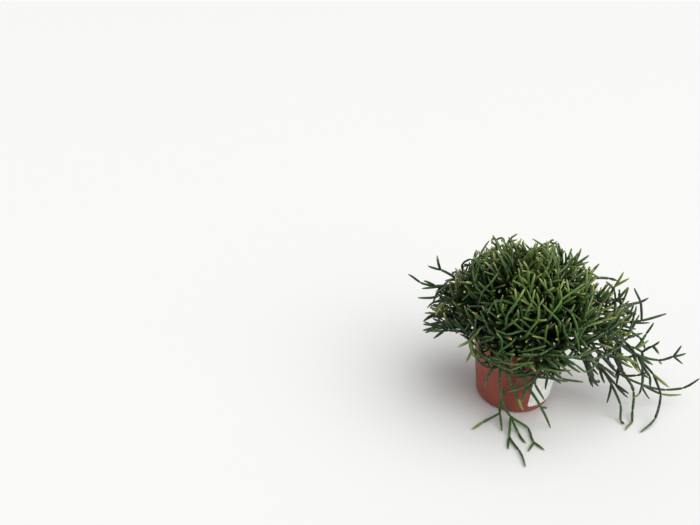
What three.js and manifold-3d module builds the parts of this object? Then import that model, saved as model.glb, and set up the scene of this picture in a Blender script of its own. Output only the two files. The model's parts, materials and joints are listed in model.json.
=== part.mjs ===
// Mistletoe cactus (Rhipsalis) in a 12 cm nursery pot. Millimetres, +Z up.
// Origin: centre of the pot's base, on the ground. +X is the side that the long stems hang to,
// -Y is the front, where the label is.
//
// The cactus is a clump of sprays. Each spray is one branching stem that stands in its own hole in the
// soil: a main stem of jointed, pencil-thin segments, with shorter segments forking from its joints.
// Sprays near the middle rise into a crown, sprays near the rim lean out over it, and the long ones
// hang below the rim and lie along the ground.
import * as THREE from "three";
import { mergeVertices } from "three/addons/utils/BufferGeometryUtils.js";
import Module from "manifold-3d";

const wasm = await Module();
wasm.setup();

// ---------------------------------------------------------------- pot, soil and label
const POT = {
  height: 98,
  rimRadius: 60,
  rimHeight: 9,
  rimStep: 2, // how far the rim stands out from the wall
  baseRadius: 47.3, // the wall's radius where its slope would meet the ground
  cornerRadius: 6,
  cornerSteps: 5,
  wall: 1.4,
  floor: 2.6,
  chamfer: 0.6, // on the rim's edges
  innerDraft: 0.4, // how much narrower the rim is inside at its foot
  innerStep: 2, // height of the slope from the rim's inside to the wall's
  innerCorner: 3.5, // how far the floor's corner is filled
  sides: 40,
};
const NOTCH = { count: 6, width: 7, height: 1.8, length: 9, firstAngle: -100 };
const DRAIN = { radius: 3.2, ringRadius: 29, sides: 10 };
const SOIL_TOP = 88;
const SOIL_CORNER = 4; // how much narrower the soil is at its foot
const HOLE = { radius: 3.1, depth: 10, sides: 6 };
const LABEL = { bottom: 13, top: 67, from: -80.5, to: -21, thickness: 0.7 };
const FIT_GAP = 0.35; // between pieces that touch on the real thing

const RIM_BOTTOM = POT.height - POT.rimHeight;
const WALL_SLOPE = (POT.rimRadius - POT.rimStep - POT.baseRadius) / RIM_BOTTOM;
const wallAt = (z) => POT.baseRadius + WALL_SLOPE * z;

// ---------------------------------------------------------------- growth of the cactus
const SEED = 18;
const DRAW = { factor: 1664525, step: 1013904223, range: 2 ** 32 };
const CROWN_SPRAYS = 20;
const RIM_SPRAYS = 15;
const CROWN_SPREAD = 35; // radius of the disc that the crown sprays stand in
const RIM_SPREAD = 49; // radius of the ring that the rim sprays stand in
const BASE_SPACING = 6.8;
const GOLDEN_ANGLE = THREE.MathUtils.degToRad(137.508);
const COLLAR = 5; // each spray is bare for this much above the soil
const SEGMENT_LENGTHS = [30, 28, 27, 26, 24, 22]; // by order of branching
const SEGMENT_RADII = [2.1, 2.05, 2, 1.95, 1.85, 1.75];
const LAST_ORDER = 5;
const SEGMENT_LIMITS = { crown: 22, rim: 16, trailing: 23 }; // segments in one spray
const GAP_BETWEEN_SPRAYS = 1.4;
const GAP_IN_SPRAY = 1;
const TRAILER_THINNING = 0.08; // how much each segment of a hanging stem is thinner than the last
const THINNEST_TRAILER = 1.25;
const LOWEST_BUD = 30; // the parts that lie near the ground grow no side shoots

const TRAILER_ORDERS = { least: 2, most: 4 }; // order that their side shoots are given
const NEARLY_PARALLEL = 1e-9;
const STEEP = 0.9; // a heading whose z is more than this is crossed with x and not with z

// The dome that the foliage fills. It is tucked in at the front, and reaches out and hangs on one side.
const CROWN = {
  centre: 94, // height that its rise is measured from
  rise: 130,
  reach: 132,
  frontTuck: 24,
  lobeReach: 40,
  shoulder: 3, // how square its shoulders are
  lobeShoulder: 1, // and how much less so on the side that hangs
  hang: 3, // how far its underside lies below the pot's rim
  frontHang: 15,
  frontBearing: THREE.MathUtils.degToRad(-75), // where it hangs lowest at the front
  frontFocus: 4, // and how narrow that part is
  backHang: 12,
  lobeHang: 62,
  hangRamp: 50, // the distance that the hang of the lobe grows over
  frontLift: 0.7, // the slope of its underside at the front
  liftFrom: 74, // and how far from the axis it starts to slope
  leftFrom: 0.7, // the slope starts at the axis towards the left, from this cosine on
  leftRamp: 0.15,
  clearFrom: 72, // nearer the pot than this there is no slope
  clearRamp: 22,
};

// Room that a segment keeps to the pot, the soil and the ground.
const ROOM = { checks: 8, overRim: 0.6, besidePot: 1.8, overGround: 0.4, overSoil: 0.5, insidePot: 0.6 };

// The main stem of a crown or rim spray: a curve from the soil to a point inside the dome.
const LEADER = {
  steps: 3,
  thinning: 0.05,
  height: 6, // above the crown's centre, where the bearings start
  firstReach: 20,
  reachStep: 2,
  sizes: [0.94, 1.08],
  crown: { shares: [0.46, 0.64], reach: 150, steepest: 90, slopes: 84, rise: 8, riseShare: 0.22, lean: 6 },
  rim: { shares: [0.6, 0.76], reach: 110, lowest: -8, slopes: 52, rise: 20, lean: 2 },
};

// How a joint forks. Angles are in degrees, except the rolls.
const FORK = {
  angles: [16, 34],
  oldOrder: 4,
  oldWidening: 8,
  sideWidening: 22, // where the joint isn't the stem's end
  lengths: [0.75, 1.25],
  rollJitter: 0.5,
  outward: 0.22,
  closest: 0.93, // cosine of the least angle between two that fork
  tries: 8,
  tryWidening: 2,
  tryRoll: 0.6,
  shortFrom: 5, // from this try on, the segment is shorter
  shortening: 0.7,
};

// How a forking segment turns down: little inside the crown, more near its underside and in the lobe.
const DROOP = {
  lift: 0.05,
  low: 0.2,
  front: 0.25,
  lobe: 0.2,
  below: 135,
  fade: 50,
  from: 30,
  ramp: 30,
  lobeFrom: 60,
  lobeRamp: 40,
};

// The chance that a joint grows the greater number of segments, and both numbers.
const FORKINGS = {
  trailingEnd: { chance: 0.35, more: 2, fewer: 1 },
  old: { chance: 0.7, more: 2, fewer: 1 },
  end: { chance: 0.3, more: 3, fewer: 2 },
  crownSide: { chance: 0.6, more: 2, fewer: 1 },
  single: { chance: 1, more: 1, fewer: 1 },
  pair: { chance: 1, more: 2, fewer: 2 },
};
const RIM_JITTER = 0.1; // radians
const RIM_SHUFFLE = 7; // neighbours on the rim get slopes this many steps apart
const FOOT_SEARCH = { tries: 20, turn: 0.06, shake: 0.4 };
const JOINT_SEARCH = { tries: 20, shake: 0.4, growth: 0.6 };

// Hanging stems, one list each: [joint that it grows from, x, y, z]. The first joint is the foot.
const FOOT = SOIL_TOP + COLLAR;
const TRAILERS = [
  // forked, in front of the pot, with its tips on the ground
  [[-1, -16, -38, FOOT], [0, -31, -51, 110], [1, -40, -66, 93], [2, -38, -69, 66], [3, -33, -66, 40],
    [4, -30, -61, 13], [4, -17, -65, 11], [5, -52, -67, 3], [7, -68, -79, 2], [5, -31, -82, 2],
    [6, 3, -77, 3], [10, 4, -102, 2.5], [11, -7, -117, 2], [11, 13, -115, 2], [6, -11, -86, 2.5],
    [14, -6, -103, 2], [6, -24, -92, 2.5], [16, -30, -113, 2], [16, -18, -115, 2.5], [18, -17, -142, 2],
    [2, -53, -75, 91], [20, -58, -76, 68], [2, -31, -74, 86], [22, -24, -72, 66], [23, -12, -69, 42],
    [24, -3, -66, 22]],
  // in front of the label
  [[-1, 2, -40, FOOT], [0, -11, -53, 110], [1, -17, -68, 97], [2, -5, -71, 65], [3, 16, -74, 33],
    [4, 31, -79, 4], [3, -12, -80, 48], [4, 28, -66, 26], [1, 3, -70, 101], [8, 0, -79, 86],
    [9, -11, -81, 73], [10, -29, -82, 65], [9, 3, -77, 71], [12, 18, -75, 46], [8, 17, -74, 86],
    [14, 36, -72, 69], [14, 15, -80, 66]],
  // hooked, at the left of the front
  [[-1, -34, -22, FOOT], [0, -42, -34, 116], [1, -52, -48, 138], [2, -68, -62, 143], [3, -80, -66, 128],
    [4, -76, -68, 118], [5, -83, -72, 100], [5, -66, -70, 99], [4, -95, -72, 123]],
  // low, on the left
  [[-1, -41, -4, FOOT], [0, -56, -8, 113], [1, -78, -12, 118], [2, -98, -14, 112], [3, -113, -12, 112],
    [4, -128, -10, 119], [3, -116, -20, 100]],
  // the longest, straight out to the right
  [[-1, 42, -13, FOOT], [0, 57, -16, 114], [1, 80, -15, 103], [2, 104, -12, 72], [3, 132, -14, 43],
    [4, 168, -18, 25], [5, 200, -22, 19], [6, 222, -22, 22], [7, 240, -22, 38], [5, 190, -32, 20],
    [9, 212, -38, 24]],
  // above it
  [[-1, 43, 6, FOOT], [0, 60, 10, 118], [1, 92, 12, 112], [2, 124, 12, 86], [3, 158, 8, 60],
    [4, 196, 5, 48], [5, 214, 5, 54], [6, 221, 5, 72], [6, 232, 8, 57], [6, 227, 0, 45],
    [5, 206, 12, 36]],
  // right, turning forward down to the ground
  [[-1, 37, -26, FOOT], [0, 54, -33, 117], [1, 86, -29, 117], [2, 120, -25, 97], [3, 150, -24, 74],
    [4, 172, -30, 51], [5, 182, -42, 27], [6, 168, -66, 8], [7, 143, -84, 2]],
  [[-1, 24, -36, FOOT], [0, 42, -50, 111], [1, 70, -47, 99], [2, 96, -38, 70], [3, 116, -38, 42],
    [4, 128, -50, 18], [5, 126, -64, 3], [6, 129, -70, 2], [4, 110, -50, 20], [3, 114, -52, 52],
    [9, 132, -56, 34]],
  [[-1, 42, -3, FOOT], [0, 58, -3, 121], [1, 88, -5, 106], [2, 120, -6, 74], [3, 136, -22, 50],
    [4, 150, -34, 26], [5, 146, -50, 8], [6, 140, -66, 2.5], [7, 126, -80, 2]],
  // right, raised
  [[-1, 34, 20, FOOT], [0, 48, 22, 124], [1, 80, 20, 134], [2, 112, 14, 120], [3, 140, 8, 108],
    [4, 157, 2, 113], [5, 149, 0, 142], [6, 135, -2, 164], [6, 158, 1, 148], [5, 186, 0, 125],
    [4, 172, 8, 106], [3, 108, 6, 142], [11, 112, 2, 164], [12, 118, 0, 186], [12, 126, -2, 178],
    [3, 120, 6, 141], [15, 130, 3, 163], [4, 145, 8, 134]],
  // behind, on the right: a low fan of upright tips
  [[-1, 28, 32, FOOT], [0, 46, 34, 122], [1, 74, 30, 122], [2, 98, 26, 100], [3, 122, 24, 79],
    [4, 141, 22, 80], [5, 155, 20, 85], [6, 167, 13, 79], [5, 152, 26, 107], [5, 142, 23, 64],
    [6, 156, 22, 104], [10, 157, 23, 123], [6, 158, 12, 116]],
  // behind that, a higher fan
  [[-1, 16, 40, FOOT], [0, 30, 46, 120], [1, 60, 44, 130], [2, 88, 40, 113], [3, 108, 37, 98],
    [4, 124, 36, 96], [5, 137, 36, 105], [6, 153, 36, 123], [5, 140, 30, 120], [8, 145, 30, 146],
    [6, 134, 43, 133], [6, 152, 34, 97], [11, 158, 30, 109]],
  // right, above the longest
  [[-1, 33, -8, FOOT], [0, 48, -9, 128], [1, 74, -12, 134], [2, 100, -15, 118], [3, 124, -16, 90],
    [4, 149, -14, 81], [5, 160, -12, 73], [6, 173, -10, 81], [7, 181, -10, 89], [5, 163, -6, 98],
    [9, 169, -6, 115], [6, 168, -19, 87], [4, 133, -20, 101]],
  // right, in front of the rest
  [[-1, 13, -43, FOOT], [0, 28, -57, 116], [1, 54, -61, 113], [2, 78, -55, 106], [3, 94, -45, 95],
    [4, 109, -42, 87], [5, 127, -42, 87], [6, 139, -44, 89], [7, 146, -46, 73], [8, 150, -48, 48],
    [9, 148, -51, 36], [10, 139, -55, 33], [9, 166, -47, 24], [5, 127, -47, 62], [13, 138, -52, 66],
    [14, 151, -54, 73]],
  // left, raised: two fans of level stems
  [[-1, -40, 9, FOOT], [0, -50, 12, 120], [1, -67, 19, 143], [2, -89, 20, 156], [3, -112, 20, 155],
    [4, -132, 20, 160], [5, -148, 20, 172], [3, -104, 30, 148], [7, -128, 30, 145], [4, -129, 8, 169],
    [3, -108, 14, 143], [10, -134, 18, 138], [2, -84, 30, 160], [12, -104, 36, 170], [13, -121, 36, 176],
    [13, -110, 36, 191], [1, -75, 2, 132], [16, -100, 0, 141], [17, -116, 0, 129], [17, -114, -10, 129]],
];

// ---------------------------------------------------------------- build-up of the sprays as solids
const MAIN_SIDES = 4;
const SIDE_SIDES = 3;
const CORNER_REACH = { 3: 1.24, 4: 1.11 }; // corner distance that gives a prism the stem's mean width
const TIP_TAPER = 0.6;
const BUD_TAPER = 0.4; // a forking segment is narrow where it leaves its joint
const BUD_SINK = 0.2;
const PEG_LIFT = 1; // the stem's foot stays this far above the bottom of its hole

const MERGE_DISTANCE = 1e-4;

const FINISHES = {
  pot: { color: 0x8a4b41, roughness: 0.55 },
  soil: { color: 0x2a1f18, roughness: 0.95 },
  label: { color: 0xeeeeea, roughness: 0.5 },
  crown: { color: 0x4d6a35, roughness: 0.5 },
  rim: { color: 0x456234, roughness: 0.5 },
  trailing: { color: 0x3f5d33, roughness: 0.5 },
};

// ================================================================ growth rule

// A small repeatable source of random numbers: state = (state * factor + step) mod range.
class Draw {
  constructor(seed) {
    this.state = seed;
  }

  next() {
    this.state = (Math.imul(this.state, DRAW.factor) + DRAW.step) >>> 0;
    return this.state / DRAW.range;
  }

  between(low, high) {
    return low + (high - low) * this.next();
  }
}

const vector = (x, y, z) => new THREE.Vector3(x, y, z);
const clamp = (value) => Math.min(1, Math.max(0, value));

function smooth(value) {
  const t = clamp(value);
  return t * t * (3 - 2 * t);
}

const frontness = (azimuth) => Math.max(0, -Math.sin(azimuth)) ** 2;
const lobeness = (azimuth) => Math.max(0, Math.cos(azimuth)) ** 2;

// Height of the crown's surface at a distance from the axis.
function crownTop(distance, azimuth, size) {
  const lobe = lobeness(azimuth);
  const reach = (CROWN.reach - CROWN.frontTuck * frontness(azimuth) + CROWN.lobeReach * lobe) * size;
  const shoulder = CROWN.shoulder - CROWN.lobeShoulder * lobe;
  return CROWN.centre + CROWN.rise * size * (1 - (distance / reach) ** shoulder);
}

// Height that the foliage stays above, outside the rim.
function crownBottom(distance, azimuth) {
  const beyond = Math.max(0, distance - POT.rimRadius);
  const lobe = lobeness(azimuth);
  const back = Math.max(0, Math.sin(azimuth)) ** 2;
  const low = Math.max(0, Math.cos(azimuth - CROWN.frontBearing)) ** CROWN.frontFocus;
  const hang = CROWN.hang + CROWN.frontHang * low + CROWN.backHang * back;
  const drop = CROWN.lobeHang * lobe * smooth(beyond / CROWN.hangRamp);
  const slope = CROWN.frontLift * Math.max(0, -Math.sin(azimuth)) * (1 - lobe);
  const left = smooth((-Math.cos(azimuth) - CROWN.leftFrom) / CROWN.leftRamp);
  const clear = smooth((distance - CROWN.clearFrom) / CROWN.clearRamp);
  const lift = slope * Math.max(0, distance - CROWN.liftFrom * (1 - left)) * clear;
  return POT.height - hang - drop + lift;
}

function isInCrown(point, size) {
  const distance = Math.hypot(point.x, point.y);
  const azimuth = Math.atan2(point.y, point.x);
  if (point.z > crownTop(distance, azimuth, size)) return false;
  return distance <= POT.rimRadius || point.z >= crownBottom(distance, azimuth);
}

// Whether a segment stays off the pot, the soil and the ground.
function clearsPot(from, to, radius) {
  const point = vector(0, 0, 0);
  for (let step = 0; step <= ROOM.checks; step += 1) {
    point.lerpVectors(from, to, step / ROOM.checks);
    const distance = Math.hypot(point.x, point.y);
    const edge = point.z > RIM_BOTTOM ? POT.rimRadius : wallAt(point.z);
    const inner = edge - POT.rimStep - POT.wall;
    const above = point.z > POT.height + radius + ROOM.overRim;
    const outside = distance > edge + radius + ROOM.besidePot && point.z > radius + ROOM.overGround;
    const overSoil = point.z > SOIL_TOP + radius + ROOM.overSoil || step === 0;
    const inside = distance < inner - radius - ROOM.insidePot && overSoil;
    if (!above && !outside && !inside) return false;
  }
  return true;
}

// Shortest distance between two straight segments.
function segmentDistance(a0, a1, b0, b1) {
  const one = a1.clone().sub(a0);
  const other = b1.clone().sub(b0);
  const offset = a0.clone().sub(b0);
  const a = one.lengthSq();
  const e = other.lengthSq();
  const f = other.dot(offset);
  const c = one.dot(offset);
  const b = one.dot(other);
  const det = a * e - b * b;
  let s = det > NEARLY_PARALLEL ? clamp((b * f - c * e) / det) : 0;
  const t = clamp((b * s + f) / e);
  s = clamp((t * b - c) / a);
  return a0.clone().addScaledVector(one, s).distanceTo(b0.clone().addScaledVector(other, t));
}

// A level direction across another one, or one along y where that is steep.
function across(direction) {
  const helper = Math.abs(direction.z) < STEEP ? vector(0, 0, 1) : vector(1, 0, 0);
  return direction.clone().cross(helper).normalize();
}

// A direction tilted by an angle, towards the side that roll gives.
function tilted(direction, angle, roll) {
  const side = across(direction);
  const up = side.clone().cross(direction);
  return direction
    .clone()
    .multiplyScalar(Math.cos(angle))
    .addScaledVector(side, Math.cos(roll) * Math.sin(angle))
    .addScaledVector(up, Math.sin(roll) * Math.sin(angle));
}

// The whole plant as a list of straight segments, each grown from its parent's end.
class Plant {
  constructor(seed) {
    this.draw = new Draw(seed);
    this.segments = [];
    this.sizes = new Map(); // segments in each spray
    this.feet = []; // where each spray leaves the soil
    this.buds = []; // joints that may still branch, oldest first
  }

  add(spray, parent, from, to, radius) {
    const index = this.segments.length;
    const segment = { index, spray, parent, from: from.clone(), to: to.clone(), radius };
    this.segments.push(segment);
    this.sizes.set(spray, (this.sizes.get(spray) ?? 0) + 1);
    return index;
  }

  isFree(spray, parent, from, to, radius) {
    return this.segments.every((other) => {
      const related = parent >= 0 && (other.index === parent || other.parent === parent);
      if (related) return true;
      const gap = other.spray === spray ? GAP_IN_SPRAY : GAP_BETWEEN_SPRAYS;
      return segmentDistance(from, to, other.from, other.to) >= radius + other.radius + gap;
    });
  }

  // Hanging stems, joint by joint as listed.
  growTrailer(spray, joints) {
    const points = joints.map(([, x, y, z]) => vector(x, y, z));
    const made = [-1];
    const depths = [0];
    this.feet.push(points[0]);
    for (let joint = 1; joint < joints.length; joint += 1) {
      const [from] = joints[joint];
      depths.push(depths[from] + 1);
      const radius = Math.max(THINNEST_TRAILER, SEGMENT_RADII[0] - TRAILER_THINNING * depths[joint]);
      made.push(this.add(spray, made[from], points[from], points[joint], radius));
    }
    for (let joint = 1; joint < joints.length; joint += 1) {
      const [from] = joints[joint];
      const isEnd = !joints.some(([parent]) => parent === joint);
      const order = Math.max(TRAILER_ORDERS.least, Math.min(depths[joint], TRAILER_ORDERS.most));
      const direction = points[joint].clone().sub(points[from]).normalize();
      if (points[joint].z > LOWEST_BUD) {
        this.buds.push({ spray, parent: made[joint], at: points[joint], direction, order, size: 1, isEnd });
      }
    }
  }

  // A free place for a spray's foot near its wanted place in the soil.
  findFoot(spread, azimuth, slides) {
    for (let attempt = 0; attempt < FOOT_SEARCH.tries; attempt += 1) {
      const side = attempt % 2 ? 1 : -1;
      const turn = slides ? FOOT_SEARCH.turn * Math.floor((attempt + 1) / 2) * side : 0;
      const shake = slides ? 0 : FOOT_SEARCH.shake * attempt;
      const x = spread * Math.cos(azimuth + turn) + this.draw.between(-1, 1) * shake;
      const y = spread * Math.sin(azimuth + turn) + this.draw.between(-1, 1) * shake;
      if (this.feet.every((foot) => Math.hypot(x - foot.x, y - foot.y) > BASE_SPACING)) {
        const foot = vector(x, y, FOOT);
        this.feet.push(foot);
        return foot;
      }
    }
    throw new Error(`no room in the soil at azimuth ${azimuth}`);
  }

  // The main stem of a crown or rim spray.
  growLeader(spray, kind, azimuth, lift, spread) {
    const isRim = kind === "rim";
    const { shares, reach: longest, rise, riseShare = 0, lean } = LEADER[kind];
    const heading = vector(
      Math.cos(azimuth) * Math.cos(lift),
      Math.sin(azimuth) * Math.cos(lift),
      Math.sin(lift),
    );
    const level = Math.hypot(heading.x, heading.y);
    let reach = LEADER.firstReach;
    while (reach < longest && CROWN.centre + heading.z * reach < crownTop(level * reach, azimuth, 1)) {
      reach += LEADER.reachStep;
    }
    const share = this.draw.between(...shares);
    const size = this.draw.between(...LEADER.sizes);
    const target = vector(0, 0, CROWN.centre + LEADER.height).addScaledVector(heading, reach * share);
    const foot = this.findFoot(spread, azimuth, isRim);
    const out = isRim ? lean : lean * (1 + spread / CROWN_SPREAD);
    const middle = foot
      .clone()
      .add(vector(out * Math.cos(azimuth), out * Math.sin(azimuth), rise + riseShare * reach));
    let parent = -1;
    let from = foot;
    for (let step = 1; step <= LEADER.steps; step += 1) {
      const u = step / LEADER.steps;
      const wanted = foot
        .clone()
        .multiplyScalar((1 - u) ** 2)
        .addScaledVector(middle, 2 * u * (1 - u))
        .addScaledVector(target, u * u);
      const radius = SEGMENT_RADII[0] - LEADER.thinning * (step - 1);
      const to = this.placeJoint(spray, parent, from, wanted, radius);
      if (!to) return;
      parent = this.add(spray, parent, from, to, radius);
      const direction = to.clone().sub(from).normalize();
      const order = step + (isRim ? 1 : 0);
      const isEnd = step === LEADER.steps;
      this.buds.push({ spray, parent, at: to, direction, order, size, isEnd });
      from = to;
    }
  }

  // A free place for a joint near its wanted place.
  placeJoint(spray, parent, from, wanted, radius) {
    for (let attempt = 0; attempt < JOINT_SEARCH.tries; attempt += 1) {
      const shake = JOINT_SEARCH.shake + attempt * JOINT_SEARCH.growth;
      const shift = vector(this.draw.between(-1, 1), this.draw.between(-1, 1), this.draw.between(-1, 1));
      const to = wanted.clone().addScaledVector(shift, shake);
      if (clearsPot(from, to, radius) && this.isFree(spray, parent, from, to, radius)) return to;
    }
    return null;
  }

  // Segments that fork from a joint.
  branch(bud, count) {
    const { spray, parent, at, direction, order, size, isEnd } = bud;
    const firstRoll = this.draw.between(0, 2 * Math.PI);
    const pull = at.clone().sub(vector(0, 0, CROWN.centre)).normalize().multiplyScalar(FORK.outward);
    pull.z += droopAt(at);
    const radius = SEGMENT_RADII[order];
    const widening = (order >= FORK.oldOrder ? FORK.oldWidening : 0) + (isEnd ? 0 : FORK.sideWidening);
    const taken = this.segments
      .filter((other) => other.parent === parent)
      .map((other) => other.to.clone().sub(other.from).normalize());
    for (let child = 0; child < count; child += 1) {
      for (let attempt = 0; attempt < FORK.tries; attempt += 1) {
        const angle = this.draw.between(...FORK.angles) + widening + attempt * FORK.tryWidening;
        const jitter = this.draw.between(-FORK.rollJitter, FORK.rollJitter);
        const roll = firstRoll + (child * 2 * Math.PI) / count + jitter + attempt * FORK.tryRoll;
        const shortening = attempt < FORK.shortFrom ? 1 : FORK.shortening;
        const length = SEGMENT_LENGTHS[order] * this.draw.between(...FORK.lengths) * shortening;
        const heading = tilted(direction, THREE.MathUtils.degToRad(angle), roll).add(pull).normalize();
        const to = at.clone().addScaledVector(heading, length);
        const fits =
          taken.every((other) => heading.dot(other) <= FORK.closest) &&
          isInCrown(to, size) &&
          clearsPot(at, to, radius) &&
          this.isFree(spray, parent, at, to, radius);
        if (fits) {
          const made = this.add(spray, parent, at, to, radius);
          const after = { spray, parent: made, at: to, direction: heading, size };
          if (order < LAST_ORDER) this.buds.push({ ...after, order: order + 1, isEnd: true });
          taken.push(heading);
          break;
        }
      }
    }
  }

  // Lets every joint branch, oldest first, until its spray has its share of segments.
  branchAll(kinds) {
    while (this.buds.length) {
      const bud = this.buds.shift();
      const chance = this.draw.next();
      const kind = kinds[bud.spray];
      if (this.sizes.get(bud.spray) < SEGMENT_LIMITS[kind]) {
        const forking = forkingOf(kind, bud);
        this.branch(bud, chance < forking.chance ? forking.more : forking.fewer);
      }
    }
  }
}

// How much a segment that forks from a point turns down.
function droopAt(point) {
  const distance = Math.hypot(point.x, point.y);
  const azimuth = Math.atan2(point.y, point.x);
  const depth = smooth((DROOP.below - point.z) / DROOP.fade);
  const low = depth * smooth((distance - DROOP.from) / DROOP.ramp);
  const lobe = lobeness(azimuth) * smooth((distance - DROOP.lobeFrom) / DROOP.lobeRamp);
  return DROOP.lift - (DROOP.low + DROOP.front * Math.max(0, -Math.sin(azimuth))) * low - DROOP.lobe * lobe;
}

function forkingOf(kind, bud) {
  if (kind === "trailing") return bud.isEnd ? FORKINGS.trailingEnd : FORKINGS.single;
  if (!bud.isEnd) return kind === "crown" ? FORKINGS.crownSide : FORKINGS.pair;
  return bud.order >= FORK.oldOrder ? FORKINGS.old : FORKINGS.end;
}

// The plant and the kind of each of its sprays.
function growPlant() {
  const plant = new Plant(SEED);
  const kinds = [];
  for (let spray = 0; spray < CROWN_SPRAYS; spray += 1) kinds.push("crown");
  for (let spray = 0; spray < RIM_SPRAYS; spray += 1) kinds.push("rim");
  TRAILERS.forEach((joints) => {
    plant.growTrailer(kinds.length, joints);
    kinds.push("trailing");
  });
  for (let spray = 0; spray < CROWN_SPRAYS; spray += 1) {
    const share = Math.sqrt((spray + 0.5) / CROWN_SPRAYS);
    const lift = THREE.MathUtils.degToRad(LEADER.crown.steepest - LEADER.crown.slopes * share);
    plant.growLeader(spray, "crown", spray * GOLDEN_ANGLE, lift, CROWN_SPREAD * share);
  }
  for (let place = 0; place < RIM_SPRAYS; place += 1) {
    const jitter = plant.draw.between(-RIM_JITTER, RIM_JITTER);
    const azimuth = ((place + 0.5) * 2 * Math.PI) / RIM_SPRAYS + jitter;
    const level = ((place * RIM_SHUFFLE) % RIM_SPRAYS) / (RIM_SPRAYS - 1);
    const lift = THREE.MathUtils.degToRad(LEADER.rim.lowest + LEADER.rim.slopes * level);
    plant.growLeader(CROWN_SPRAYS + place, "rim", azimuth, lift, RIM_SPREAD);
  }
  plant.branchAll(kinds);
  return { plant, kinds };
}

// ================================================================ solids

function toSolid(geometry) {
  geometry.deleteAttribute("normal");
  geometry.deleteAttribute("uv");
  const merged = mergeVertices(geometry, MERGE_DISTANCE);
  const mesh = new wasm.Mesh({
    numProp: 3,
    vertProperties: new Float32Array(merged.attributes.position.array),
    triVerts: new Uint32Array(merged.index.array),
  });
  return new wasm.Manifold(mesh);
}

function toGeometry(solid) {
  const { vertProperties, triVerts, numProp } = solid.getMesh();
  const geometry = new THREE.BufferGeometry();
  geometry.setAttribute("position", new THREE.BufferAttribute(new Float32Array(vertProperties), numProp));
  geometry.setIndex(new THREE.BufferAttribute(new Uint32Array(triVerts), 1));
  geometry.computeVertexNormals();
  return geometry;
}

// A tapering prism through a run of joints, with its rings mitred at the bends.
function loft(points, radii, sides) {
  const headings = points.slice(1).map((point, i) => point.clone().sub(points[i]).normalize());
  const [start] = headings;
  const side = across(start);
  const up = start.clone().cross(side);
  const positions = [];
  let ring = [];
  for (let corner = 0; corner < sides; corner += 1) {
    const angle = (corner * 2 * Math.PI) / sides;
    ring.push(side.clone().multiplyScalar(Math.cos(angle)).addScaledVector(up, Math.sin(angle)));
  }
  points.forEach((point, i) => {
    const before = headings[Math.max(0, i - 1)];
    const after = headings[Math.min(headings.length - 1, i)];
    const plane = before.clone().add(after).normalize();
    ring.forEach((spoke) => {
      const reach = spoke.clone().multiplyScalar(radii[i]);
      const slide = -reach.dot(plane) / before.dot(plane);
      const corner = point.clone().add(reach).addScaledVector(before, slide);
      positions.push(corner.x, corner.y, corner.z);
    });
    const turn = new THREE.Quaternion().setFromUnitVectors(before, after);
    ring = ring.map((spoke) => spoke.clone().applyQuaternion(turn));
  });
  const indices = [];
  for (let row = 0; row + 1 < points.length; row += 1) {
    for (let corner = 0; corner < sides; corner += 1) {
      const next = (corner + 1) % sides;
      const [a, b] = [row * sides + corner, row * sides + next];
      const [c, d] = [a + sides, b + sides];
      indices.push(a, b, d, a, d, c);
    }
  }
  const last = (points.length - 1) * sides;
  for (let corner = 1; corner + 1 < sides; corner += 1) {
    indices.push(0, corner + 1, corner);
    indices.push(last, last + corner, last + corner + 1);
  }
  const geometry = new THREE.BufferGeometry();
  geometry.setAttribute("position", new THREE.BufferAttribute(new Float32Array(positions), 3));
  geometry.setIndex(indices);
  return geometry;
}

// A run of segments from the first to a tip, following the straightest child at each joint.
function followStem(first, childrenOf) {
  const run = [first];
  const forks = [];
  for (;;) {
    const current = run[run.length - 1];
    const heading = current.to.clone().sub(current.from).normalize();
    const children = [...(childrenOf.get(current.index) ?? [])];
    if (!children.length) return { run, forks };
    const straightness = (child) => child.to.clone().sub(child.from).normalize().dot(heading);
    children.sort((one, other) => straightness(other) - straightness(one));
    run.push(children[0]);
    forks.push(...children.slice(1));
  }
}

function stemSolid(run, sides, isMain) {
  const reach = CORNER_REACH[sides];
  const points = run.map((segment) => segment.to.clone());
  const radii = run.map((segment) => segment.radius * reach);
  radii[radii.length - 1] *= TIP_TAPER;
  const [first] = run;
  if (isMain) {
    const bottom = SOIL_TOP - HOLE.depth + PEG_LIFT;
    points.unshift(first.from.clone());
    points.unshift(vector(first.from.x, first.from.y, bottom));
    radii.unshift(first.radius * reach, first.radius * reach);
  } else {
    const heading = first.to.clone().sub(first.from).normalize();
    points.unshift(first.from.clone().addScaledVector(heading, -BUD_SINK));
    radii.unshift(first.radius * reach * BUD_TAPER);
  }
  return toSolid(loft(points, radii, sides));
}

// One spray: its main stem with every fork sunk into the joint it grows from.
function spraySolid(segments) {
  const childrenOf = new Map();
  segments.forEach((segment) => {
    const siblings = childrenOf.get(segment.parent) ?? [];
    siblings.push(segment);
    childrenOf.set(segment.parent, siblings);
  });
  const [root] = childrenOf.get(-1);
  const waiting = [root];
  let solid = null;
  while (waiting.length) {
    const first = waiting.shift();
    const isMain = first === root;
    const { run, forks } = followStem(first, childrenOf);
    const stem = stemSolid(run, isMain ? MAIN_SIDES : SIDE_SIDES, isMain);
    solid = solid ? solid.add(stem) : stem;
    waiting.push(...forks);
  }
  return solid;
}

function lathe(profile) {
  const points = profile.map(([x, y]) => new THREE.Vector2(x, y));
  const geometry = new THREE.LatheGeometry(points, POT.sides);
  geometry.rotateX(Math.PI / 2);
  return toSolid(geometry);
}

// Points of a quarter round in the wall's corner, from the base up to the wall.
function cornerArc(centreX, centreZ, radius, endAngle) {
  const points = [];
  for (let step = 0; step <= POT.cornerSteps; step += 1) {
    const angle = -Math.PI / 2 + ((endAngle + Math.PI / 2) * step) / POT.cornerSteps;
    points.push([centreX + radius * Math.cos(angle), centreZ + radius * Math.sin(angle)]);
  }
  return points;
}

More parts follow.
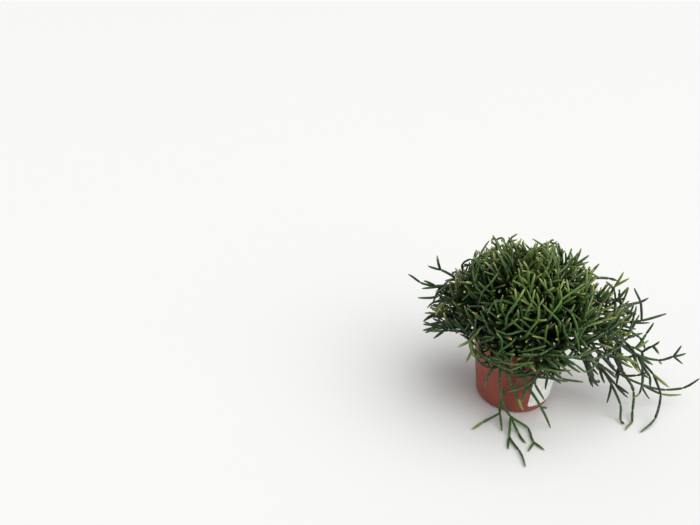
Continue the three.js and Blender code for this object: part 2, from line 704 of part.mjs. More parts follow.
function potSolid() {
  const lean = Math.atan(WALL_SLOPE);
  const corner = POT.cornerRadius;
  const centreX = wallAt(corner) - corner / Math.cos(lean);
  const innerAt = (z) => wallAt(z) - POT.wall;
  const innerFoot = RIM_BOTTOM - POT.innerStep / 2;
  const innerTop = RIM_BOTTOM + POT.innerStep;
  const cornerTop = corner + POT.innerStep;
  const profile = [
    [0, 0],
    ...cornerArc(centreX, corner, corner, -lean),
    [wallAt(RIM_BOTTOM), RIM_BOTTOM],
    [POT.rimRadius, RIM_BOTTOM + POT.chamfer],
    [POT.rimRadius, POT.height - POT.chamfer],
    [POT.rimRadius - POT.chamfer, POT.height],
    [POT.rimRadius - POT.wall, POT.height],
    [POT.rimRadius - POT.wall - POT.innerDraft, innerTop],
    [innerAt(innerFoot), innerFoot],
    [innerAt(cornerTop), cornerTop],
    [innerAt(POT.floor) - POT.innerCorner, POT.floor],
    [0, POT.floor],
  ];
  let pot = lathe(profile);
  for (let index = 0; index < NOTCH.count; index += 1) {
    const angle = THREE.MathUtils.degToRad(NOTCH.firstAngle) + (index * 2 * Math.PI) / NOTCH.count;
    const notch = new THREE.BoxGeometry(NOTCH.length * 2, NOTCH.width, NOTCH.height * 2);
    notch.translate(POT.baseRadius, 0, 0);
    notch.rotateZ(angle);
    pot = pot.subtract(toSolid(notch));
    const drain = new THREE.CylinderGeometry(DRAIN.radius, DRAIN.radius, 4 * POT.floor, DRAIN.sides);
    drain.rotateX(Math.PI / 2);
    drain.translate(DRAIN.ringRadius * Math.cos(angle), DRAIN.ringRadius * Math.sin(angle), 0);
    pot = pot.subtract(toSolid(drain));
  }
  return pot;
}

function soilSolid(feet) {
  const innerAt = (z) => wallAt(z) - POT.wall - FIT_GAP;
  const low = POT.cornerRadius + POT.innerStep;
  const floor = POT.floor + FIT_GAP;
  let soil = lathe([
    [0, floor],
    [innerAt(floor) - SOIL_CORNER, floor],
    [innerAt(low), low],
    [innerAt(SOIL_TOP), SOIL_TOP],
    [0, SOIL_TOP],
  ]);
  feet.forEach((foot) => {
    const hole = new THREE.CylinderGeometry(HOLE.radius, HOLE.radius, 2 * HOLE.depth, HOLE.sides);
    hole.rotateX(Math.PI / 2);
    hole.translate(foot.x, foot.y, SOIL_TOP);
    soil = soil.subtract(toSolid(hole));
  });
  return soil;
}

// The label: a sheet bent round the wall.
function labelSolid() {
  const innerAt = (z) => wallAt(z) + FIT_GAP;
  const { bottom, top } = LABEL;
  const sleeve = lathe([
    [innerAt(bottom), bottom],
    [innerAt(bottom) + LABEL.thickness, bottom],
    [innerAt(top) + LABEL.thickness, top],
    [innerAt(top), top],
    [innerAt(bottom), bottom],
  ]);
  const from = THREE.MathUtils.degToRad(LABEL.from);
  const to = THREE.MathUtils.degToRad(LABEL.to);
  const far = 2 * POT.rimRadius;
  const wedge = new THREE.Shape([
    new THREE.Vector2(0, 0),
    new THREE.Vector2(far * Math.cos(from), far * Math.sin(from)),
    new THREE.Vector2(far * Math.cos(to), far * Math.sin(to)),
  ]);
  const block = new THREE.ExtrudeGeometry(wedge, { depth: POT.height, bevelEnabled: false });
  return sleeve.intersect(toSolid(block));
}

// ================================================================ assembly

function addMesh(group, name, solid, finish) {
  const material = new THREE.MeshStandardMaterial({ ...finish, metalness: 0 });
  const mesh = new THREE.Mesh(toGeometry(solid), material);
  mesh.name = name;
  group.add(mesh);
}

function buildCactus() {
  const group = new THREE.Group();
  const { plant, kinds } = growPlant();
  addMesh(group, "pot", potSolid(), FINISHES.pot);
  addMesh(group, "soil", soilSolid(plant.feet), FINISHES.soil);
  addMesh(group, "label", labelSolid(), FINISHES.label);
  const counts = { crown: 0, rim: 0, trailing: 0 };
  kinds.forEach((kind, spray) => {
    const segments = plant.segments.filter((segment) => segment.spray === spray);
    counts[kind] += 1;
    const name = `${kind}_spray_${String(counts[kind]).padStart(2, "0")}`;
    addMesh(group, name, spraySolid(segments), FINISHES[kind]);
  });
  return group;
}

export default buildCactus();
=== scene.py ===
"""Mistletoe cactus (Rhipsalis) in a 12 cm terracotta-coloured nursery pot.

The plant is a clump of sprays that stand in holes in peat potting mix. Lengths are in millimetres until
a mesh is written, and the mesh is in metres, in the frame of the solids: +Z up, the origin at the centre
of the pot's base, -Y to the front and +X to the side that the long stems hang to.
"""

import json
import logging
import math
from collections import deque
from dataclasses import dataclass, field
from enum import Enum
from functools import partial
from typing import Any, Callable

import bpy
import numpy as np
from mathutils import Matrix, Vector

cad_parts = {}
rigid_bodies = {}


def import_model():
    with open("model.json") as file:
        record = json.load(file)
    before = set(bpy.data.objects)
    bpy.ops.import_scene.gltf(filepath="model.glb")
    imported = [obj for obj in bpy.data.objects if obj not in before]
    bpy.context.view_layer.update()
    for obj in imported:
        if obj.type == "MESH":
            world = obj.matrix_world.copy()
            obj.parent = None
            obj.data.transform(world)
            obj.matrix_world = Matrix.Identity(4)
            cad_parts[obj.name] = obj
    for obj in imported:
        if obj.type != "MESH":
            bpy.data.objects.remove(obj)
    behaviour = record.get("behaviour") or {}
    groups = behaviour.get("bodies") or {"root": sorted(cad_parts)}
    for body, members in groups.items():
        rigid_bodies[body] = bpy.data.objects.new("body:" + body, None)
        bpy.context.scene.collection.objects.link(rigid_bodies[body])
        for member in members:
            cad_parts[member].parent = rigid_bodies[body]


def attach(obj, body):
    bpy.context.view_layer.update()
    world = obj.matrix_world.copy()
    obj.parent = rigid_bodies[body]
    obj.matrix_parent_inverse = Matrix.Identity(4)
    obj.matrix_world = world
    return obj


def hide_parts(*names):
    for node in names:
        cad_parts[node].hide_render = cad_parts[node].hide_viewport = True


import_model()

LOG = logging.getLogger("mistletoe_cactus")
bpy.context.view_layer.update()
MM = 0.001
BODY = "root"

UP = np.array([0.0, 0.0, 1.0])
ALONG = np.array([1.0, 0.0, 0.0])
STEEP = 0.9  # from this height on, a direction is too near UP for a cross product with it

Array = np.ndarray
Rng = np.random.Generator
Piece = bpy.types.Object
Material = bpy.types.Material
Node = bpy.types.Node
NodeAdder = Callable[..., Node]
Step = tuple[float, float]  # where a smooth step starts, and how wide it is, or less than 0 if it goes down


# ---- numbers and colours


def srgb(code: str) -> tuple[float, float, float, float]:
    """Turns an sRGB hex colour to linear.

    Args:
        code: the colour, such as "#8a4b41".

    Returns:
        The linear red, green and blue, and an opacity of 1.
    """
    parts = [int(code[i : i + 2], 16) / 255 for i in (1, 3, 5)]
    red, green, blue = [p / 12.92 if p <= 0.04045 else ((p + 0.055) / 1.055) ** 2.4 for p in parts]
    return red, green, blue, 1.0


def smooth(value: Any) -> Any:
    """A smooth step from 0 to 1: t * t * (3 - 2 t), with t the value held between 0 and 1."""
    t = np.clip(value, 0.0, 1.0)
    return t * t * (3 - 2 * t)


def step(value: Any, place: Step) -> Any:
    """A smooth step at a place: from 0 where it starts to 1 one width further."""
    start, width = place
    return smooth((value - start) / width)


def unit(vectors: Array) -> Array:
    """Vectors scaled to length 1, along the last axis."""
    return vectors / np.sqrt((vectors * vectors).sum(-1, keepdims=True))


class Draw:
    """A small repeatable source of random numbers, the same as the solids' own."""

    def __init__(self, seed: int) -> None:
        """Starts the row of numbers at a seed."""
        self.state = seed

    def next(self) -> float:
        """The next number from 0 to 1."""
        self.state = (self.state * 1664525 + 1013904223) & 0xFFFFFFFF
        return self.state / 4294967296

    def between(self, low: float, high: float) -> float:
        """The next number between two limits."""
        return low + (high - low) * self.next()


# ---- meshes


@dataclass
class Surface:
    """A mesh worked out as arrays: points in millimetres, faces of three or four corners, and its extras."""

    points: Array
    quads: Array
    triangles: Array = field(default_factory=lambda: np.zeros((0, 3), int))
    quad_uv: Array | None = None
    triangle_uv: Array | None = None
    colours: Array | None = None

    def build(self, name: str, material: Material, smooth_shaded: bool = True) -> Piece:
        """Writes the mesh and links its object, at the origin.

        Args:
            name: the piece's name.
            material: its finish.
            smooth_shaded: whether its faces blend into each other.

        Returns:
            The new object.
        """
        mesh = bpy.data.meshes.new(name)
        corners = np.concatenate([self.quads.ravel(), self.triangles.ravel()]).astype(np.int32)
        sizes = np.concatenate([np.full(len(self.quads), 4), np.full(len(self.triangles), 3)])
        starts = np.concatenate([[0], np.cumsum(sizes)[:-1]]).astype(np.int32)
        mesh.vertices.add(len(self.points))
        mesh.vertices.foreach_set("co", (self.points * MM).astype(np.float32).ravel())
        mesh.loops.add(len(corners))
        mesh.loops.foreach_set("vertex_index", corners)
        mesh.polygons.add(len(sizes))
        mesh.polygons.foreach_set("loop_start", starts)
        mesh.polygons.foreach_set("loop_total", sizes.astype(np.int32))
        mesh.update(calc_edges=True)
        if self.quad_uv is not None and self.triangle_uv is not None:
            layer = mesh.uv_layers.new(name="skin")
            uv = np.concatenate([self.quad_uv.reshape(-1, 2), self.triangle_uv.reshape(-1, 2)])
            layer.data.foreach_set("uv", uv.astype(np.float32).ravel())
        if self.colours is not None:
            growth = mesh.color_attributes.new("growth", "FLOAT_COLOR", "POINT")
            growth.data.foreach_set("color", self.colours.astype(np.float32).ravel())
        mesh.polygons.foreach_set("use_smooth", np.full(len(sizes), smooth_shaded))
        mesh.materials.append(material)
        mesh.validate(clean_customdata=False)
        piece = bpy.data.objects.new(name, mesh)
        bpy.context.scene.collection.objects.link(piece)
        return piece


def grid_quads(rows: int, columns: int, wrap: bool) -> Array:
    """The faces of a grid of points, row by row.

    Args:
        rows: how many rows of points.
        columns: how many points in a row.
        wrap: whether the last column joins the first.

    Returns:
        Four corner numbers for each face.
    """
    across = columns if wrap else columns - 1
    row, column = np.meshgrid(np.arange(rows - 1), np.arange(across), indexing="ij")
    after = (column + 1) % columns
    corners = [row * columns + column, row * columns + after]
    corners += [(row + 1) * columns + after, (row + 1) * columns + column]
    return np.stack(corners, -1).reshape(-1, 4)


def full_turn(count: int) -> Array:
    """Equal steps round a full turn, in radians from 0."""
    return np.arange(count) * 2 * math.pi / count


def around_axis(radius: Any, angle: Any, z: Any) -> Array:
    """Points at a distance from the axis, a bearing and a height: (r cos a, r sin a, z)."""
    return np.stack(np.broadcast_arrays(radius * np.cos(angle), radius * np.sin(angle), z), -1)


def turned_surface(profile: Array, sides: int) -> Surface:
    """A profile turned round the Z axis, with its two ends on the axis.

    A point is (r cos a, r sin a, z) for each profile point (r, z) and angle a. The profile runs from the
    bottom of the axis outwards and back to the axis, so the faces point outwards.

    Args:
        profile: radius and height of each point, from the first pole to the last.
        sides: how many points a turn has.

    Returns:
        The closed surface.
    """
    ring = profile[1:-1]
    body = around_axis(ring[:, :1], full_turn(sides), ring[:, 1:]).reshape(-1, 3)
    poles = np.array([[0, 0, profile[0, 1]], [0, 0, profile[-1, 1]]])
    here = np.arange(sides)
    after = (here + 1) % sides
    first, last, top = len(body), len(body) + 1, (len(ring) - 1) * sides
    fans = [np.stack([np.full_like(here, first), after, here], -1)]
    fans.append(np.stack([np.full_like(here, last), top + here, top + after], -1))
    return Surface(np.concatenate([body, poles]), grid_quads(len(ring), sides, True), np.concatenate(fans))


# ---- materials


def feed(node: Node, inputs: dict[Any, Any]) -> None:
    """Gives a node's inputs their values and links.

    Args:
        node: the node.
        inputs: for each input, by name or number, a value, an output, or a node for its first output.
    """
    for key, value in inputs.items():
        if isinstance(value, Node):
            value = next(output for output in value.outputs if output.enabled)
        if isinstance(value, bpy.types.NodeSocket):
            node.id_data.links.new(value, node.inputs[key])
        else:
            node.inputs[key].default_value = value


def add_node(
    tree: bpy.types.NodeTree, kind: str, inputs: dict[Any, Any] | None = None, **settings: Any
) -> Node:
    """Adds a node with its settings and links.

    Args:
        tree: the node tree.
        kind: the node's type, without the ShaderNode that it starts with.
        inputs: what each input gets, as feed takes it.
        settings: the node's own properties.

    Returns:
        The new node.
    """
    node = tree.nodes.new("ShaderNode" + kind)
    for name, value in settings.items():
        setattr(node, name, value)
    feed(node, inputs or {})
    return node


def set_ramp(node: Node, stops: list[tuple[float, str]]) -> Node:
    """Sets a colour ramp's stops.

    Args:
        node: the ramp.
        stops: place and sRGB colour of each stop.

    Returns:
        The ramp.
    """
    elements = node.color_ramp.elements
    while len(elements) < len(stops):
        elements.new(0.5)
    for element, (place, code) in zip(elements, stops):
        element.position = place
        element.color = srgb(code)
    return node


def new_material(name: str) -> tuple[Material, NodeAdder, Node]:
    """Makes an empty material with one Principled shader.

    Args:
        name: the material's name.

    Returns:
        The material, the function that adds a node to it, and the shader.
    """
    material = bpy.data.materials.new(name)
    material.use_nodes = True
    tree = material.node_tree
    tree.nodes.clear()
    shader = add_node(tree, "BsdfPrincipled")
    add_node(tree, "OutputMaterial", {"Surface": shader})
    return material, partial(add_node, tree), shader


@dataclass(frozen=True)
class Dents:
    """Fine unevenness of a surface: noise that dents it. Sizes are in millimetres."""

    size: float
    strength: float
    depth: float
    detail: float = 2.0

    def make(self, add: NodeAdder, place: bpy.types.NodeSocket) -> Node:
        """Adds noise at the given coordinates, and returns the node whose normals it dents."""
        height = add("TexNoise", {"Vector": place, "Scale": 1 / (self.size * MM), "Detail": self.detail})
        return add("Bump", {"Strength": self.strength, "Distance": self.depth * MM, "Height": height})


@dataclass(frozen=True)
class StemSkin:
    """Waxy green skin of a jointed cactus stem.

    It gives the eye a satin sheen on leaf green, darker on old segments, yellow-green on new ones, with
    some cream tips, a pale speck of wool at each tip and areole. Its colour holds painted shade: it is mixed
    towards a dark shade colour deep inside the plant, and is darker on the left and low on the right.
    """

    shade: str = "#0e1c08"
    old: str = "#213f16"
    grown: str = "#3a5a1f"
    young: str = "#6b8030"
    straw: str = "#bdb673"
    wool: str = "#cdd2b6"
    roughness: float = 0.36
    duller: float = 0.12  # how much rougher it is where its bloom is thick
    glossier: float = 0.08
    ior: float = 1.45
    gloss: float = 0.48
    mottle: float = 5.0  # size of the paler and darker patches
    mottling: float = 0.3  # how much younger the pale ones look
    lowest_tone: float = -0.5
    tones: tuple[float, float] = (0.42, 1.38)  # brightness at the lowest and the highest tone
    full_straw: float = 0.8
    wool_edge: tuple[float, float] = (0.84, 0.98)  # where the wool of the very tip starts and is full
    areole_spacing: float = 7.0
    areole_jitter: float = 0.6
    areole: float = 0.9  # larger than the real wool specks, which are too fine to show
    grain: Dents = Dents(0.7, 0.25, 0.15)

    def make(self) -> Material:
        """Builds the skin's material.

        Returns:
            The material.
        """
        material, add, shader = new_material("waxy_cactus_skin")
        growth = add("Attribute", attribute_name="growth")
        youth, straw, tone = add("SeparateColor", {"Color": growth}).outputs
        place = add("TexCoord").outputs["Object"]
        noise = {"Vector": place, "Scale": 1 / (self.mottle * MM), "Detail": 3.0, "Roughness": 0.6}
        patches = add("TexNoise", noise)
        age = add("Math", {0: patches, 1: self.mottling, 2: youth}, operation="MULTIPLY_ADD")
        ramp = add("ValToRGB", {"Fac": age})
        green = set_ramp(ramp, [(0.2, self.old), (0.6, self.grown), (1.0, self.young)])
        dark, bright = self.tones
        tone_range = {"Value": tone, "From Min": self.lowest_tone, "To Min": dark, "To Max": bright}
        brightness = add("MapRange", tone_range)
        colour = add("HueSaturation", {"Color": green, "Value": brightness})
        yellow = add("MapRange", {"Value": straw, "From Max": self.full_straw})
        skin = add("UVMap", uv_map="skin")
        cells = {"Vector": skin, "Scale": 1 / self.areole_spacing, "Randomness": self.areole_jitter}
        specks = add("TexVoronoi", cells, voronoi_dimensions="2D")
        edge = self.areole / (2 * self.areole_spacing)
        dots = add("MapRange", {"Value": specks, "From Min": edge, "From Max": edge * 0.5})
        first, full = self.wool_edge
        apex = add("MapRange", {"Value": straw, "From Min": first, "From Max": full})
        wool = add("Math", {0: dots, 1: apex}, operation="MAXIMUM")
        for amount, code in ((yellow, self.straw), (wool, self.wool)):
            colour = add("Mix", {"Factor": amount, 6: colour, 7: srgb(code)}, data_type="RGBA")
        layers = {"Factor": growth.outputs["Alpha"], 6: srgb(self.shade), 7: colour}
        lit = add("Mix", layers, data_type="RGBA")
        low, high = self.roughness - self.glossier, self.roughness + self.duller
        bloom_range = {"Value": patches, "From Min": 0.3, "From Max": 0.7, "To Min": low, "To Max": high}
        bloom = add("MapRange", bloom_range)
        feed(shader, {"Base Color": lit, "Roughness": bloom, "Normal": self.grain.make(add, place)})
        feed(shader, {"IOR": self.ior, "Specular IOR Level": self.gloss})
        return material


@dataclass(frozen=True)
class PotPlastic:
    """Injection-moulded polypropylene, coloured terracotta.

    It gives the eye a dull satin brown-red, a faint cloudiness in the colour, the fine texture of the
    mould, a rubbed rim, and a streaky film of dust and splashed peat low down.
    """

    colour: str = "#984330"
    deep: str = "#7c3528"
    dust: str = "#9a7c68"
    peat: str = "#3d2b21"
    roughness: float = 0.5
    duller: float = 0.12  # how much rougher it is where the dust is thick
    glossier: float = 0.06
    ior: float = 1.49
    cloud: float = 22.0
    streak: float = 3.5
    streak_squeeze: float = 0.22  # a streak's width against its height
    dusty_share: float = 0.34  # how far up the pot the dust reaches
    most_dust: float = 0.5
    splash: float = 4.5
    rubbed: float = 1.6  # how far below the rim's top it is worn
    most_wear: float = 0.35
    texture: Dents = Dents(0.6, 0.12, 0.1)

    def make(self, height: float) -> Material:
        """Builds the plastic's material.

        Args:
            height: the pot's height in millimetres.

        Returns:
            The material.
        """
        material, add, shader = new_material("moulded_terracotta_polypropylene")
        place = add("TexCoord").outputs["Object"]
        level = add("SeparateXYZ", {"Vector": place}).outputs["Z"]
        noise = {"Vector": place, "Scale": 1 / (self.cloud * MM), "Detail": 4.0, "Roughness": 0.6}
        clouds = add("TexNoise", noise)
        ramp = add("ValToRGB", {"Fac": clouds})
        colour = set_ramp(ramp, [(0.3, self.deep), (0.62, self.colour)])
        stretch = add("Mapping", {"Vector": place, "Scale": (1.0, 1.0, self.streak_squeeze)})
        noise = {"Vector": stretch, "Scale": 1 / (self.streak * MM), "Detail": 5.0, "Roughness": 0.7}
        streaks = add("TexNoise", noise)
        reach = {"From Min": self.dusty_share * height * MM, "From Max": 0.0, "To Max": self.most_dust}
        low = add("MapRange", {"Value": level, **reach})
        dusty = add("MapRange", {"Value": streaks, "From Min": 0.48, "From Max": 0.72, "To Min": 0.05})
        amount = add("Math", {0: low, 1: dusty}, operation="MULTIPLY")
        splash = add("TexVoronoi", {"Vector": place, "Scale": 1 / (self.splash * MM)})
        spots = add("MapRange", {"Value": splash, "From Min": 0.13, "From Max": 0.07})
        patchy = add("MapRange", {"Value": clouds, "From Min": 0.55, "From Max": 0.7, "To Max": 0.8})
        spotted = add("Math", {0: spots, 1: patchy}, operation="MULTIPLY")
        edge = {"From Min": (height - self.rubbed) * MM, "From Max": height * MM, "To Max": self.most_wear}
        rubbed = add("MapRange", {"Value": level, **edge})
        for share, code in ((amount, self.dust), (spotted, self.peat), (rubbed, self.dust)):
            colour = add("Mix", {"Factor": share, 6: colour, 7: srgb(code)}, data_type="RGBA")
        least, most = self.roughness - self.glossier, self.roughness + self.duller
        gloss_range = {"Value": streaks, "From Min": 0.3, "From Max": 0.7, "To Min": least, "To Max": most}
        gloss = add("MapRange", gloss_range)
        dents = self.texture.make(add, place)
        feed(shader, {"Base Color": colour, "Roughness": gloss, "Normal": dents, "IOR": self.ior})
        return material


@dataclass(frozen=True)
class PottingMix:
    """Milled peat with fine bark, moist.

    It gives the eye a matt dark brown, almost black in the hollows, with fibres and lighter bark bits.
    """

    dark: str = "#1c140f"
    brown: str = "#3a291d"
    bark: str = "#5f4531"
    bit: float = 2.2
    fibre: float = 0.5
    fibre_depth: float = 0.5
    roughness: float = 0.92

    def make(self) -> Material:
        """Builds the potting mix's material.

        Returns:
            The material.
        """
        material, add, shader = new_material("milled_peat_potting_mix")
        place = add("TexCoord").outputs["Object"]
        bits = add("TexVoronoi", {"Vector": place, "Scale": 1 / (self.bit * MM)}).outputs["Color"]
        noise = {"Vector": place, "Scale": 1 / (self.fibre * MM), "Detail": 4.0, "Roughness": 0.7}
        fibres = add("TexNoise", noise)
        shade = add("Math", {0: bits, 1: 0.55, 2: -0.05}, operation="MULTIPLY_ADD")
        mixed = add("Math", {0: fibres, 1: 0.5, 2: shade}, operation="MULTIPLY_ADD")
        ramp = add("ValToRGB", {"Fac": mixed})
        colour = set_ramp(ramp, [(0.15, self.dark), (0.55, self.brown), (0.95, self.bark)])
        normal = add("Bump", {"Strength": 0.8, "Distance": self.fibre_depth * MM, "Height": fibres})
        feed(shader, {"Base Color": colour, "Normal": normal, "Roughness": self.roughness})
        return material


@dataclass(frozen=True)
class Perlite:
    """Expanded volcanic glass, as crushed white grains in potting mix.

    It gives the eye small off-white specks that look like foam.
    """

    white: str = "#cfcabb"
    stained: str = "#8d7d68"
    pore: float = 0.5
    roughness: float = 0.9

    def make(self) -> Material:
        """Builds the grains' material.

        Returns:
            The material.
        """
        material, add, shader = new_material("expanded_perlite")
        place = add("TexCoord").outputs["Object"]
        noise = {"Vector": place, "Scale": 1 / (self.pore * MM), "Detail": 2.0}
        ramp = add("ValToRGB", {"Fac": add("TexNoise", noise)})
        colour = set_ramp(ramp, [(0.35, self.stained), (0.6, self.white)])
        feed(shader, {"Base Color": colour, "Roughness": self.roughness})
        return material


@dataclass(frozen=True)
class LabelPaper:
    """Coated white label paper, unprinted.

    It gives the eye a clean white with a slight sheen, a little grey where it has been handled.
    """

    white: str = "#f3f4ef"
    handled: str = "#e0e0d8"
    patch: float = 14.0
    roughness: float = 0.42
    ior: float = 1.5
    ripples: Dents = Dents(5.0, 0.25, 0.2)

    def make(self) -> Material:
        """Builds the paper's material.

        Returns:
            The material.
        """
        material, add, shader = new_material("coated_white_label_paper")
        place = add("TexCoord").outputs["Object"]
        noise = {"Vector": place, "Scale": 1 / (self.patch * MM), "Detail": 5.0, "Roughness": 0.65}
        ramp = add("ValToRGB", {"Fac": add("TexNoise", noise)})
        colour = set_ramp(ramp, [(0.35, self.handled), (0.58, self.white)])
        feed(shader, {"Base Color": colour, "Normal": self.ripples.make(add, place)})
        feed(shader, {"Roughness": self.roughness, "IOR": self.ior})
        return material


@dataclass(frozen=True)
class Backdrop:
    """Matt pale paper, as a seamless studio floor."""

    colour: str = "#e6e6e4"
    roughness: float = 0.9

    def make(self) -> Material:
        """Builds the floor's material.

        Returns:
            The material.
        """
        material, _, shader = new_material("matt_pale_backdrop")
        feed(shader, {"Base Color": srgb(self.colour), "Roughness": self.roughness})
        return material


# ---- pot, soil and label


@dataclass
class Pot:
    """The nursery pot: a tapered wall with a round corner below and a rim band above."""

    height: float = 98.0
    rim_radius: float = 60.0
    rim_height: float = 9.0
    rim_step: float = 2.0
    base_radius: float = 47.3  # the wall's radius where its slope would meet the ground
    corner: float = 6.0
    wall: float = 1.4
    floor: float = 2.6
    sides: int = 144
    steps: int = 12  # points of the round corner's section, and of the wall's
    holes: int = 6
    notch_size: tuple[float, float, float] = (9.0, 7.0, 1.8)
    first_notch: float = math.radians(-100)
    drain_radius: float = 3.2
    drain_ring: float = 29.0
    drain_sides: int = 32
    sharp: float = 35.0  # the least angle of an edge that isn't shaded smooth

    @property
    def slope(self) -> float:
        """How much the wall's radius grows for each millimetre of height."""
        return (self.rim_radius - self.rim_step - self.base_radius) / (self.height - self.rim_height)

    @property
    def rim_bottom(self) -> float:
        """Height of the rim band's lower edge."""
        return self.height - self.rim_height

    def wall_radius(self, z: Any) -> Any:
        """The tapered wall's outer radius at a height, without the rim band."""
        return self.base_radius + self.slope * z

    def profile(self) -> Array:
        """The pot's section from the middle of its underside, round the rim, to the middle of its floor.

        Returns:
            Radius and height of each point.
        """
        lean = math.atan(self.slope)
        middle = self.wall_radius(self.corner) - self.corner / math.cos(lean)
        turn = np.linspace(-math.pi / 2, -lean, self.steps)
        foot = np.stack([middle + self.corner * np.cos(turn), self.corner + self.corner * np.sin(turn)], -1)
        rise = np.linspace(self.corner + 4, self.rim_bottom - 0.6, self.steps)
        side = np.stack([self.wall_radius(rise), rise], -1)
        outer, top, inner = self.rim_radius, self.height, self.rim_radius - self.wall
        bottom = self.rim_bottom
        rim = [[self.wall_radius(bottom) + 0.2, bottom - 0.1], [outer - 0.6, bottom]]
        rim += [[outer - 0.15, bottom + 0.15], [outer, bottom + 0.6], [outer, top - 4.0], [outer, top - 0.8]]
        rim += [[outer - 0.2, top - 0.25], [outer - 0.7, top], [inner + 0.25, top - 0.1]]
        rim += [[inner, top - 0.5], [inner - 0.4, bottom + 2]]
        drop = np.linspace(bottom - 1, self.corner + 2, 5)
        inside = np.stack([self.wall_radius(drop) - self.wall, drop], -1)
        floor = [[self.wall_radius(self.floor) - self.wall - 3.5, self.floor], [0, self.floor]]
        return np.concatenate([[[0.0, 0.0], [20.0, 0.0]], foot, side, rim, inside, floor])

    def cutter(self, index: int) -> list[Piece]:
        """The blocks that cut one notch in the foot and one drain hole.

        Args:
            index: which notch, counted round the pot.

        Returns:
            The two blocks.
        """
        angle = self.first_notch + index * 2 * math.pi / self.holes
        length, width, rise = (size * MM for size in self.notch_size)
        bpy.ops.mesh.primitive_cube_add(size=1)
        notch = bpy.context.object
        notch.scale = (2 * length, width, 2 * rise)
        radius = self.base_radius * MM
        notch.location = (radius * math.cos(angle), radius * math.sin(angle), 0)
        notch.rotation_euler = (0, 0, angle)
        radius, depth = self.drain_radius * MM, 4 * self.floor * MM
        bpy.ops.mesh.primitive_cylinder_add(vertices=self.drain_sides, radius=radius, depth=depth)
        drain = bpy.context.object
        radius = self.drain_ring * MM
        drain.location = (radius * math.cos(angle), radius * math.sin(angle), 0)
        return [notch, drain]

    def build(self, finish: PotPlastic) -> Piece:
        """Makes the pot.

        Args:
            finish: its plastic.

        Returns:
            The pot's object.
        """
        pot = turned_surface(self.profile(), self.sides).build("nursery_pot", finish.make(self.height))
        for index in range(self.holes):
            for block in self.cutter(index):
                cut = pot.modifiers.new("cut", "BOOLEAN")
                cut.operation = "DIFFERENCE"
                cut.solver = "EXACT"
                cut.object = block
                apply_modifiers(pot)
                bpy.data.objects.remove(block)
        shade_by_angle(pot, self.sharp)
        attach(pot, BODY)
        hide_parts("pot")
        return pot


def apply_modifiers(piece: Piece) -> None:
    """Bakes a piece's modifiers into its mesh.

    Args:
        piece: the object.
    """
    bpy.context.view_layer.update()
    graph = bpy.context.evaluated_depsgraph_get()
    mesh = bpy.data.meshes.new_from_object(piece.evaluated_get(graph))
    old = piece.data
    piece.modifiers.clear()
    piece.data = mesh
    bpy.data.meshes.remove(old)


def shade_by_angle(piece: Piece, degrees: float) -> None:
    """Smooths a piece's shading, with edges kept sharp past an angle in degrees."""
    piece.data.shade_smooth()
    piece.data.set_sharp_from_angle(angle=math.radians(degrees))


